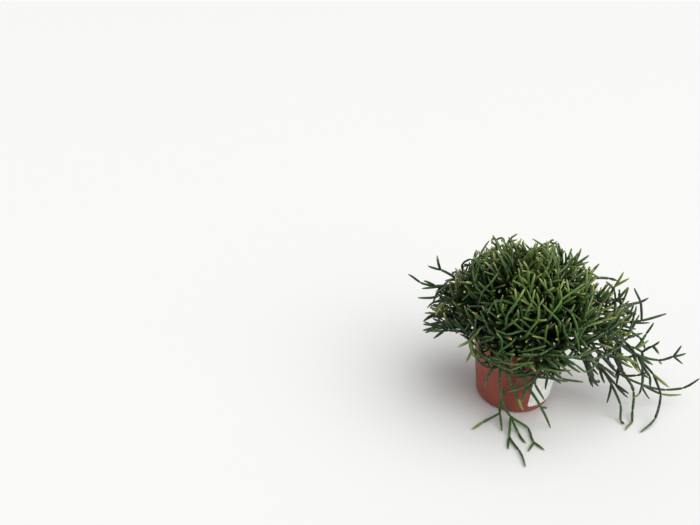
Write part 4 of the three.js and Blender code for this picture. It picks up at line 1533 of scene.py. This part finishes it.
    def find_foot(self, spray: int, spread: float, azimuth: float, slides: bool) -> Array:
        """Finds a free place for a spray's foot near its wanted place in the soil.

        Args:
            spray: its number.
            spread: the wanted distance from the axis.
            azimuth: the wanted bearing.
            slides: whether it looks along its ring, and not around the place.

        Returns:
            The foot.
        """
        rule = self.rule
        for attempt in range(rule.foot_tries):
            side = 1 if attempt % 2 else -1
            turn = rule.foot_turn * ((attempt + 1) // 2) * side if slides else 0.0
            shake = 0.0 if slides else rule.foot_shake * attempt
            x = spread * math.cos(azimuth + turn) + self.draw.between(-1, 1) * shake
            y = spread * math.sin(azimuth + turn) + self.draw.between(-1, 1) * shake
            if all(math.hypot(x - foot[0], y - foot[1]) > rule.base_spacing for foot in self.feet.values()):
                self.feet[spray] = np.array([x, y, rule.foot])
                return self.feet[spray]
        raise ValueError(f"no room in the soil at azimuth {azimuth}")

    def grow_leader(self, spray: int, leader: LeaderRule, azimuth: float, lift: float, spread: float) -> None:
        """Adds the main stem of a crown or rim spray.

        Args:
            spray: its number.
            leader: how such a stem runs.
            azimuth: its bearing.
            lift: its slope above level.
            spread: its distance from the axis in the soil.
        """
        rule, centre = self.rule, self.dome.centre
        around = np.array([math.cos(azimuth), math.sin(azimuth), 0])
        heading = around * math.cos(lift) + UP * math.sin(lift)
        level = math.hypot(heading[0], heading[1])
        reach = leader.first_reach
        while reach < leader.reach and centre + heading[2] * reach < self.dome.top(level * reach, azimuth, 1):
            reach += leader.reach_step
        share = self.draw.between(*leader.shares)
        size = self.draw.between(*leader.sizes)
        target = UP * (centre + leader.height) + heading * (reach * share)
        foot = self.find_foot(spray, spread, azimuth, leader.slides)
        out = leader.lean + leader.lean_share * spread / rule.crown_spread
        middle = foot + around * out + UP * (leader.rise + leader.rise_share * reach)
        parent, start = -1, foot
        for index in range(1, leader.steps + 1):
            u = index / leader.steps
            wanted = foot * (1 - u) ** 2 + middle * (2 * u * (1 - u)) + target * (u * u)
            radius = rule.radii[0] - leader.thinning * (index - 1)
            new = Segment(spray, parent, start, wanted, radius, index - 1)
            if not self.place_end(new):
                return
            parent = self.add(new)
            order, is_end = index + leader.first_order, index == leader.steps
            self.buds.append(Bud(spray, parent, new.end, unit(new.end - start), order, size, is_end))
            start = new.end

    def place_end(self, new: Segment) -> bool:
        """Moves a segment's end to a free place near its wanted one.

        Args:
            new: the segment, which ends at the wanted place.

        Returns:
            True if there is a free place.
        """
        rule, wanted = self.rule, new.end
        for attempt in range(rule.joint_tries):
            shift = np.array([self.draw.between(-1, 1) for _ in range(3)])
            new.end = wanted + shift * (rule.joint_shake + attempt * rule.joint_growth)
            if self.fits(new):
                return True
        return False

    def branch(self, bud: Bud, count: int) -> None:
        """Grows segments that fork from a joint.

        Args:
            bud: the joint.
            count: how many segments to try.
        """
        rule, fork = self.rule, self.fork
        first_roll = self.draw.between(0, 2 * math.pi)
        pull = unit(bud.at - UP * self.dome.centre) * fork.outward
        pull[2] += fork.droop(bud.at, self.dome)
        radius = rule.radii[bud.order]
        widening = fork.old_widening if bud.order >= fork.old_order else 0
        widening += 0 if bud.is_end else fork.side_widening
        kin = np.flatnonzero(self.parent[: self.count] == bud.parent)
        taken = [unit(self.end[i] - self.start[i]) for i in kin]
        for child in range(count):
            for attempt in range(fork.tries):
                angle = self.draw.between(*fork.angles) + widening + attempt * fork.try_widening
                jitter = self.draw.between(-fork.roll_jitter, fork.roll_jitter)
                roll = first_roll + child * 2 * math.pi / count + jitter + attempt * fork.try_roll
                shortening = 1 if attempt < fork.short_from else fork.shortening
                length = rule.lengths[bud.order] * self.draw.between(*fork.lengths) * shortening
                heading = unit(tilted(bud.heading, math.radians(angle), roll) + pull)
                end = bud.at + heading * length
                new = Segment(bud.spray, bud.parent, bud.at, end, radius, bud.order)
                is_apart = all(heading @ other <= fork.closest for other in taken)
                is_held = self.dome.holds(end, min(bud.size, 1.0) if self.leash else bud.size)
                if is_apart and is_held and self.fits(new):
                    after = Bud(bud.spray, self.add(new), end, heading, bud.order + 1, bud.size, True)
                    (self.buds if bud.order < rule.last_order else self.spare).append(after)
                    taken.append(heading)
                    break

    def forking(self, bud: Bud) -> Forking:
        """How many segments a joint may grow.

        Args:
            bud: the joint.

        Returns:
            The rule for its number of segments.
        """
        kind = self.kinds[bud.spray]
        if kind is Kind.TRAILING:
            return Forking.TRAILING_END if bud.is_end else Forking.SINGLE
        if not bud.is_end:
            return Forking.CROWN_SIDE if kind is Kind.CROWN else Forking.PAIR
        return Forking.OLD if bud.order >= self.fork.old_order else Forking.END

    def branch_all(self) -> None:
        """Lets every joint branch, oldest first, until its spray has its share of segments."""
        while self.buds:
            bud = self.buds.popleft()
            chance = self.draw.next()
            if self.sizes[bud.spray] < self.kinds[bud.spray].limit:
                self.branch(bud, self.forking(bud).number(chance))
            else:
                self.spare.append(bud)

    def grow(self) -> None:
        """Grows every segment that the solids hold."""
        rule = self.rule
        self.kinds = [Kind.CROWN] * rule.crown_sprays + [Kind.RIM] * rule.rim_sprays
        for joints in trailers(rule.foot):
            self.grow_trailer(len(self.kinds), joints)
            self.kinds.append(Kind.TRAILING)
        for spray in range(rule.crown_sprays):
            share = math.sqrt((spray + 0.5) / rule.crown_sprays)
            lift = math.radians(CROWN_LEADER.slope + CROWN_LEADER.more_slope * share)
            spread = rule.crown_spread * share
            self.grow_leader(spray, CROWN_LEADER, spray * rule.golden_angle, lift, spread)
        for place in range(rule.rim_sprays):
            azimuth = (place + 0.5) * 2 * math.pi / rule.rim_sprays
            azimuth += self.draw.between(-rule.rim_jitter, rule.rim_jitter)
            level = ((place * rule.rim_shuffle) % rule.rim_sprays) / (rule.rim_sprays - 1)
            lift = math.radians(RIM_LEADER.slope + RIM_LEADER.more_slope * level)
            self.grow_leader(rule.crown_sprays + place, RIM_LEADER, azimuth, lift, rule.rim_spread)
        self.branch_all()

    # ---- the finer stems that fill the crown

    def thicken(self) -> None:
        """Lets the joints that were left over branch on, more loosely and with narrower gaps."""
        fine = self.fine
        self.ease, self.leash, self.solid, self.fork = fine.ease, fine.leash, self.count, fine.fork
        while self.spare:
            bud = self.spare.popleft()
            chance = self.draw.next()
            is_thin = bud.at[2] < self.rule.lowest_bud or self.is_sparse(bud.at) > fine.too_thin
            if bud.order <= fine.last_order and not is_thin:
                self.branch(bud, self.forking(bud).number(chance))

    def is_sparse(self, places: Array) -> Array:
        """How thin the foliage is: 1 far out and low on the side that hangs, and 0 in the crown.

        Args:
            places: the places.

        Returns:
            A number from 0 to 1 for each.
        """
        fine, (x, y, z) = self.fine, np.moveaxis(places, -1, 0)
        right = step(x, fine.thin_right) * (1 - fine.low_share + fine.low_share * step(z, fine.thin_low))
        beside = step(x, fine.thin_beside) * step(z, fine.thin_under) * (y < 0)
        return np.maximum(np.maximum(right, beside), fine.left_share * step(x, fine.thin_left))

    def hang_apron(self) -> None:
        """Grows short segments down over the front of the rim."""
        fine, rng = self.fine, np.random.default_rng(self.fine.apron_seed)
        tries = fine.apron_tries
        azimuth = rng.uniform(*fine.apron_bearings, tries)
        distance = rng.uniform(*fine.apron_distances, tries)
        places = around_axis(distance, azimuth, rng.uniform(*fine.apron_heights, tries))
        level = rng.normal(0, fine.apron_spread, (tries, 2))
        ways = unit(np.column_stack([level, rng.uniform(*fine.apron_slopes, tries)]))
        for place, way in zip(places, ways):
            self.reach_for(place, way, fine.apron, rng)

    def fill(self) -> None:
        """Grows more segments into the empty places of the crown's outer layer.

        For each random place, the joint that suits it best grows a segment towards it, if there is room.
        """
        fine, rng = self.fine, np.random.default_rng(self.fine.crown_seed)
        low, high = np.array(fine.crown_low), np.array(fine.crown_high)
        places = low + (high - low) * rng.uniform(0, 1, (fine.crown_tries, 3))
        wanted = self.dome.holds(places, 1.0) & ~self.dome.holds(places, fine.core)
        wanted &= rng.uniform(0, 1, fine.crown_tries) > self.is_sparse(places)
        places = places[wanted]
        for place, way in zip(places, self.flow(places, rng)):
            self.reach_for(place, way, fine.crown, rng)

    def flow(self, places: Array, rng: Rng) -> Array:
        """The direction that stems tend to run in at places.

        It is outward * away + w * sideways + rise * up, with w a random number either side of 0, and a
        rise that grows smoothly from the crown's underside to its top.

        Args:
            places: the places.
            rng: the seeded random numbers.

        Returns:
            A unit vector for each.
        """
        fine, (_, azimuth, z) = self.fine, polar(places)
        sideways = rng.normal(0, fine.sideways, len(places))
        x = fine.outward * np.cos(azimuth) - sideways * np.sin(azimuth)
        y = fine.outward * np.sin(azimuth) + sideways * np.cos(azimuth)
        return unit(np.stack([x, y, fine.least_rise + fine.more_rise * step(z, fine.rise_step)], -1))

    def reach_for(self, place: Array, way: Array, reach: Reach, rng: Rng) -> None:
        """Grows one segment towards a place, from the joint that suits it best.

        The best joint lies about one segment's length away, has few other branches, and lets the segment
        run the way that stems tend to there.

        Args:
            place: the place.
            way: the direction that stems tend to run in there.
            reach: the limits and weights of the choice.
            rng: the seeded random numbers.
        """
        rule, n, scale = self.rule, self.count, rng.uniform(*reach.scales)
        offset = place - self.end[:n]
        distance = np.sqrt((offset * offset).sum(1))
        turn = offset / np.maximum(distance, self.LEAST_DISTANCE)[:, None]
        headings, branches, flow = self.headings(), self.children(), turn @ way
        aim = (turn * headings).sum(1)
        fit = reach.aim_weight * aim + reach.flow_weight * flow
        fit = fit - np.abs(distance - reach.usual) / reach.tolerance - reach.crowding * branches
        fit[(aim < reach.least_aim) | (flow < reach.least_flow)] = -np.inf
        fit[(branches > reach.most_branches) | (self.order[:n] > reach.last_order)] = -np.inf
        fit[(distance < reach.nearest) | (distance > reach.farthest)] = -np.inf
        best = int(fit.argmax())
        is_close = (headings[self.parent[:n] == best] @ turn[best] > self.fork.closest).any()
        if np.isinf(fit[best]) or is_close:
            return
        order = int(self.order[best]) + 1
        end = self.end[best] + turn[best] * min(rule.lengths[order] * scale, distance[best])
        radius = rule.radii[max(order, reach.thin_order)]
        new = Segment(int(self.spray[best]), best, self.end[best], end, radius, order)
        if self.fits(new):
            self.add(new)


# ---- the cactus as meshes


@dataclass(frozen=True)
class Toning:
    """How a stem's youth, straw and tone, each of about 0 to 1, follow its place and its age; on the left,
    and on the right, they also hold painted shade.
    """

    youth: float = 0.04
    for_order: float = 0.04  # each time that its stem has branched
    for_end: float = 0.12  # at its end, and as much again at a free tip
    for_high: float = 0.22
    # painted shade: stems on the right and on the left are made older, so darker green
    right_shade_age: float = -0.05
    left_shade_age: float = -0.2
    for_fresh: float = 0.65
    scatter: float = 0.08
    high: Step = (135.0, 65.0)
    low: Step = (115.0, -40.0)
    right: Step = (70.0, 60.0)
    left: Step = (-20.0, -70.0)
    fresh_chance: tuple[float, float] = (0.05, 0.2)  # for new growth, and how much more on the right
    pale_chance: tuple[float, float] = (0.12, 0.2)  # for a straw tip, and how much more at the top
    pale_straw: tuple[float, float] = (0.35, 0.75)
    least_straw: float = 0.08
    fresh_straw: float = 0.3
    young_straw: float = 0.4
    straw_from: tuple[float, float] = (0.35, 0.8)  # how far along the segment it may start
    wool_chance: float = 0.4
    left_shade: float = 0.6
    right_shade: tuple[float, float] = (0.15, 0.4)  # and how much more low down


@dataclass
class Cactus:
    """The plant: one piece for each spray, with every segment a closed, round-ended, slightly bent rod."""

    rule: GrowthRule
    pot: Pot
    fine_rule: FineRule = FineRule()
    toning: Toning = Toning()
    seed: int = 5
    sides: int = 8
    fine: float = 0.8  # how thin the stems are that only fill gaps, against the rest
    bend: float = 0.36  # how far a segment leans into its neighbours' directions at its ends
    side_bend: float = 0.4  # the share of that where it branches off to the side
    bow: float = 0.06  # how far its middle stands off, against its length
    most_bow: float = 1.4
    least_bow: float = 0.2  # the least of the random share of its bow that a segment has
    sag: float = 0.6  # how much the bows point down
    swell: tuple[float, float] = (0.94, 1.09)
    neck_at: tuple[float, ...] = (-0.35, 0.1, 1.7)  # in millimetres from the start
    neck_width: tuple[float, ...] = (0.3, 0.62, 0.92)
    body_at: tuple[float, ...] = (0.36, 0.7)  # in shares of the length
    body_slimming: tuple[float, ...] = (0.0, 0.12)  # how much slimmer a free tip is
    round_at: tuple[float, ...] = (-1.5, -0.5, 0.08)  # in radii from the end
    round_width: tuple[float, ...] = (1.0, 0.76, 0.15)
    round_slimming: tuple[float, ...] = (0.36, 0.32, 0.0)
    steep: float = 0.8  # from this height on, a rod's rings are set out from ALONG, not from UP
    skin_shift: float = 900.0  # how far apart in the skin's pattern two segments may start
    peg: float = 9.0
    young_sprays: tuple[tuple[Kind, int], ...] = ((Kind.TRAILING, 3),)
    young: float = 0.8  # how much younger their stems are
    young_from: Step = (-62.0, -14.0)

    def grow(self) -> Plant:
        """Grows the plant.

        Returns:
            The grown plant.
        """
        plant = Plant(self.rule, self.pot, self.fine_rule)
        stages = {
            "stems of the solids": plant.grow,
            "with side stems": plant.thicken,
            "with the stems over the rim": plant.hang_apron,
            "with the stems that fill gaps": plant.fill,
        }
        for words, stage in stages.items():
            stage()
            LOG.info("%s: %d segments", words, plant.count)
        for spray, foot in plant.feet.items():
            below = foot - UP * (self.rule.collar + self.peg)
            plant.add(Segment(spray, -1, below, foot, self.rule.radii[0], 0))
        return plant

    def tangents(self, plant: Plant) -> tuple[Array, Array]:
        """The directions that each segment starts and ends in.

        A segment starts between its parent's direction and its own, and ends between its own and that of
        its straightest child, so that a run of segments is one flowing stem.

        Args:
            plant: the grown plant.

        Returns:
            The starting and the ending directions.
        """
        n = plant.count
        own, parent = plant.headings(), plant.parent[:n]
        has_parent = parent >= 0
        before = np.where(has_parent[:, None], own[parent], own)
        straight = np.where(has_parent, (own * before).sum(1), -2.0)
        best = np.full(n, -2.0)
        np.maximum.at(best, parent[has_parent], straight[has_parent])
        is_main = has_parent & (straight >= best[parent])
        after = own.copy()
        after[parent[is_main]] = own[is_main]
        lean = np.where(is_main, self.bend, self.side_bend * self.bend)[:, None]
        starts = unit(own + (before - own) * lean)
        ends = unit(own + (after - own) * self.bend)
        return starts, ends

    def profile(self, length: Array, radius: Array, is_tip: Array, swell: Array) -> tuple[Array, Array]:
        """Places and widths of the rings along each rod.

        The rod has a narrow neck in the joint that it grows from, a long even body, and a round end. A
        free tip is a little slimmer.

        Args:
            length: each segment's length.
            radius: each segment's radius.
            is_tip: 1 for a free tip and 0 for the rest.
            swell: two small random changes of width for each.

        Returns:
            The distance from the start and the radius of each ring.
        """
        neck, body = np.array(self.neck_at) + 0 * length, np.array(self.body_at) * length
        along = np.concatenate([neck, body, length + np.array(self.round_at) * radius], 1)
        width = [np.array(self.neck_width) + 0 * length, swell * (1 - np.array(self.body_slimming) * is_tip)]
        width.append(np.array(self.round_width) - np.array(self.round_slimming) * is_tip)
        return along, np.concatenate(width, 1) * radius

    def rods(self, plant: Plant, chosen: Array, youth: Array, rng: Rng) -> Surface:
        """Round-ended rods for some of the segments.

        With t from 0 at a segment's start to 1 at its end, its middle line is a Hermite curve through both
        ends plus 4 t (1 - t) times a small bow. Round it, a point is middle + radius * (cos a * side +
        sin a * up), held above the floor.

        Args:
            plant: the grown plant.
            chosen: the segments' numbers.
            youth: how much younger than usual each is.
            rng: the seeded random numbers.

        Returns:
            The rods as one surface.
        """
        count, floor = len(chosen), [-np.inf, -np.inf, 0]
        starts, ends = (tangent[chosen] for tangent in self.tangents(plant))
        a, b = plant.start[chosen], plant.end[chosen]
        radius = (plant.radius[chosen] * np.where(chosen < plant.solid, 1.0, self.fine))[:, None]
        length = np.sqrt(((b - a) ** 2).sum(1))[:, None]
        is_tip = (plant.children()[chosen] == 0)[:, None].astype(float)
        along, width = self.profile(length, radius, is_tip, rng.uniform(*self.swell, (count, 2)))
        side_way = rng.normal(0, 1, (count, 3)) - UP * self.sag
        heading = unit(b - a)
        side_way = unit(side_way - (side_way * heading).sum(1, keepdims=True) * heading)
        bow = side_way * np.minimum(self.bow * length, self.most_bow)
        bow = bow * rng.uniform(self.least_bow, 1, (count, 1))
        t = (along / length)[..., None]
        middle = (2 * t**3 - 3 * t**2 + 1) * a[:, None] + (3 * t**2 - 2 * t**3) * b[:, None]
        middle += length[..., None] * (t**3 - 2 * t**2 + t) * starts[:, None]
        middle += length[..., None] * (t**3 - t**2) * ends[:, None]
        middle += 4 * np.clip(t * (1 - t), 0, None) * bow[:, None]
        heading = unit(np.gradient(middle, axis=1))
        helper = np.where(np.abs(heading[:, :1, 2:]) < self.steep, UP, ALONG)
        side = unit(np.cross(heading, helper))
        up = np.cross(heading, side)
        angle = full_turn(self.sides)[:, None]
        spoke = side[:, :, None] * np.cos(angle) + up[:, :, None] * np.sin(angle)
        points = middle[:, :, None] + spoke * width[:, :, None, None]
        surface = self.skin_faces(along, radius, rng)
        surface.points = np.maximum(points.reshape(-1, 3), floor)
        surface.colours = self.colours(plant, chosen, points, along / length, is_tip, youth, rng)
        return surface

    def skin_faces(self, along: Array, radius: Array, rng: Rng) -> Surface:
        """The faces of many rods, with the distance round and along each as their skin coordinates.

        Args:
            along: each ring's distance from the segment's start.
            radius: each rod's radius.
            rng: the seeded random numbers.

        Returns:
            A surface without points.
        """
        (count, rings), sides = along.shape, self.sides
        shift = (np.arange(count) * rings * sides)[:, None, None]
        quads = grid_quads(rings, sides, True)[None] + shift
        fan = np.stack([np.zeros(sides - 2, int), np.arange(2, sides), np.arange(1, sides - 1)], -1)
        caps = np.concatenate([fan, fan[:, ::-1] + (rings - 1) * sides])[None] + shift
        place = rng.uniform(0, self.skin_shift, (count, 1, 1))
        around = np.arange(sides)
        column = np.tile(np.stack([around, around + 1, around + 1, around], -1), (rings - 1, 1))
        u = column[None] / sides * 2 * math.pi * radius[:, :, None]
        row = np.repeat(np.arange(rings - 1), sides)
        v = np.stack([along[:, row], along[:, row], along[:, row + 1], along[:, row + 1]], -1)
        quad_uv = np.stack([u + place, v + place], -1)
        cap_v = np.repeat(along[:, [0, -1]], sides - 2, 1)[:, :, None].repeat(3, 2)
        cap_uv = np.stack([place + 0 * cap_v, place + cap_v], -1)
        return Surface(np.zeros((0, 3)), quads.reshape(-1, 4), caps.reshape(-1, 3), quad_uv, cap_uv)

    def colours(
        self, plant: Plant, chosen: Array, points: Array, share: Array, is_tip: Array, youth: Array, rng: Rng
    ) -> Array:
        """Youth, straw, tone and openness of each point, kept as red, green, blue and alpha.

        Youth grows with the order of branching and along the segment, and is lowered on the left and the
        right as painted shade. Straw is how yellow the free end is, and 1 at the woolly speck on its very
        tip.
        Tone differs from segment to segment, and is lowered on the left and low on the right as painted
        shade.
        Openness paints shade deep inside the plant.

        Args:
            plant: the grown plant.
            chosen: the segments' numbers.
            points: each rod's points.
            share: how far along its segment each ring is.
            is_tip: 1 for a free tip and 0 for the rest.
            youth: how much younger than usual each is.
            rng: the seeded random numbers.

        Returns:
            Four values for each point.
        """
        look, count, end = self.toning, len(chosen), plant.end[chosen]
        share = np.clip(share, 0, 1)
        open_sky = plant.dome.openness(points)
        high, low = step(end[:, 2:], look.high), step(end[:, 2:], look.low)
        right, left = step(end[:, :1], look.right), step(end[:, :1], look.left)
        chance, more = look.fresh_chance
        is_fresh = (plant.luck[plant.parent[chosen]][:, None] < chance + more * right) * is_tip
        age = look.youth + look.for_order * plant.order[chosen][:, None] + look.for_end * share
        # the right and left terms make stems older and darker there, as painted shade
        age = age + look.for_end * is_tip * share + look.for_high * high + look.right_shade_age * right
        age = age + look.left_shade_age * left + look.for_fresh * is_fresh + youth
        age = age + rng.normal(0, look.scatter, (count, 1))
        chance, more = look.pale_chance
        is_pale = rng.uniform(0, 1, (count, 1)) < chance + more * high
        straw = np.where(is_pale, rng.uniform(*look.pale_straw, (count, 1)), look.least_straw)
        straw = straw + look.fresh_straw * is_fresh + look.young_straw * youth
        starts = rng.uniform(*look.straw_from, (count, 1))
        tip = smooth((share - starts) / (1 - starts)) * straw * is_tip
        has_wool = is_tip[:, 0] * (rng.uniform(0, 1, count) < look.wool_chance)
        tip[:, -1] = np.maximum(tip[:, -1], has_wool)
        shade, more = look.right_shade
        tone = rng.uniform(0, 1, (count, 1)) - look.left_shade * left
        tone = tone - (shade + more * low) * right * (1 - is_fresh) + 0 * share
        values = np.stack([np.clip(age, 0, 1), tip, tone], -1)
        values = np.broadcast_to(values[:, :, None], (*open_sky.shape, 3))
        return np.concatenate([values, open_sky[..., None]], -1).reshape(-1, 4)

    def build(self, finish: StemSkin) -> list[Piece]:
        """Makes one piece for each spray.

        Args:
            finish: the stems' skin.

        Returns:
            The pieces.
        """
        plant, skin, pieces = self.grow(), finish.make(), []
        rng = np.random.default_rng(self.seed)
        numbers = {kind: 0 for kind in Kind}
        for spray, kind in enumerate(plant.kinds):
            numbers[kind] += 1
            node = f"{kind.word}_spray_{numbers[kind]:02d}"
            chosen = np.flatnonzero(plant.spray[: plant.count] == spray)
            is_young = (kind, numbers[kind]) in self.young_sprays
            youth = self.young * step(plant.end[chosen, :1], self.young_from) * is_young
            piece = self.rods(plant, chosen, youth, rng).build(f"{node}_stems", skin)
            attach(piece, BODY)
            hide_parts(node)
            LOG.info("%s: %d segments", piece.name, len(chosen))
            pieces.append(piece)
        return pieces


# ---- studio


@dataclass
class Studio:
    """A pale floor, soft light from above and a camera that looks down on the pot."""

    camera_place: tuple[float, float, float] = (-222.7, -663.5, 537.1)
    camera_pitch: float = 27.0
    focal_pixels: float = 603.0
    frame_width: float = 700.0
    sensor: float = 36.0
    floor_size: float = 40000.0
    top_from: tuple[float, float, float] = (0.4, -0.2, 1.0)
    top_width: float = 80.0
    top_power: float = 2.2
    side_from: tuple[float, float, float] = (0.9, -0.8, 0.45)
    side_width: float = 60.0
    side_power: float = 0.52
    world_colour: str = "#f4f5f6"
    world_strength: float = 0.56

    def camera(self) -> None:
        """Makes the camera."""
        data = bpy.data.cameras.new("camera")
        data.sensor_width = self.sensor
        data.lens = self.focal_pixels / self.frame_width * self.sensor
        camera = bpy.data.objects.new("camera", data)
        camera.location = [value * MM for value in self.camera_place]
        camera.rotation_euler = (math.radians(90 - self.camera_pitch), 0, 0)
        bpy.context.scene.collection.objects.link(camera)
        bpy.context.scene.camera = camera

    def floor(self) -> None:
        """Makes the floor, a plain matt sheet."""
        half = self.floor_size / 2
        points = np.array([[-half, -half, 0], [half, -half, 0], [half, half, 0], [-half, half, 0]])
        floor = Surface(points, np.array([[0, 1, 2, 3]])).build("floor", Backdrop().make(), False)

    def lamp(self, name: str, place: tuple[float, float, float], width: float, power: float) -> None:
        """Makes a soft light.

        Args:
            name: its name.
            place: the direction that it shines from.
            width: how wide it looks from the plant, in degrees.
            power: its strength.
        """
        data = bpy.data.lights.new(name, "SUN")
        data.energy = power
        data.angle = math.radians(width)
        lamp = bpy.data.objects.new(name, data)
        lamp.rotation_euler = Vector(place).to_track_quat("Z", "Y").to_euler()
        bpy.context.scene.collection.objects.link(lamp)

    def build(self) -> None:
        """Sets up the whole studio."""
        self.camera()
        self.floor()
        self.lamp("softbox_above", self.top_from, self.top_width, self.top_power)
        self.lamp("softbox_beside", self.side_from, self.side_width, self.side_power)
        scene = bpy.context.scene
        scene.world = bpy.data.worlds.new("studio")
        scene.world.use_nodes = True
        background = scene.world.node_tree.nodes["Background"]
        feed(background, {"Color": srgb(self.world_colour), "Strength": self.world_strength})
        scene.view_settings.view_transform = "Standard"


# ---- main


def main() -> None:
    """Builds every piece in order, dresses it and reports it."""
    logging.basicConfig(level=logging.INFO, format="%(name)s: %(message)s")
    Studio().build()
    LOG.info("studio is set")
    pot = Pot()
    pot.build(PotPlastic())
    LOG.info("pot is made")
    for piece in Soil(pot).build(PottingMix(), Perlite()):
        LOG.info("soil: %s", piece.name)
    Label(pot).build(LabelPaper())
    LOG.info("label is made")
    pieces = Cactus(GrowthRule(), pot).build(StemSkin())
    LOG.info("cactus: %d sprays", len(pieces))


if __name__ == "__main__":
    main()
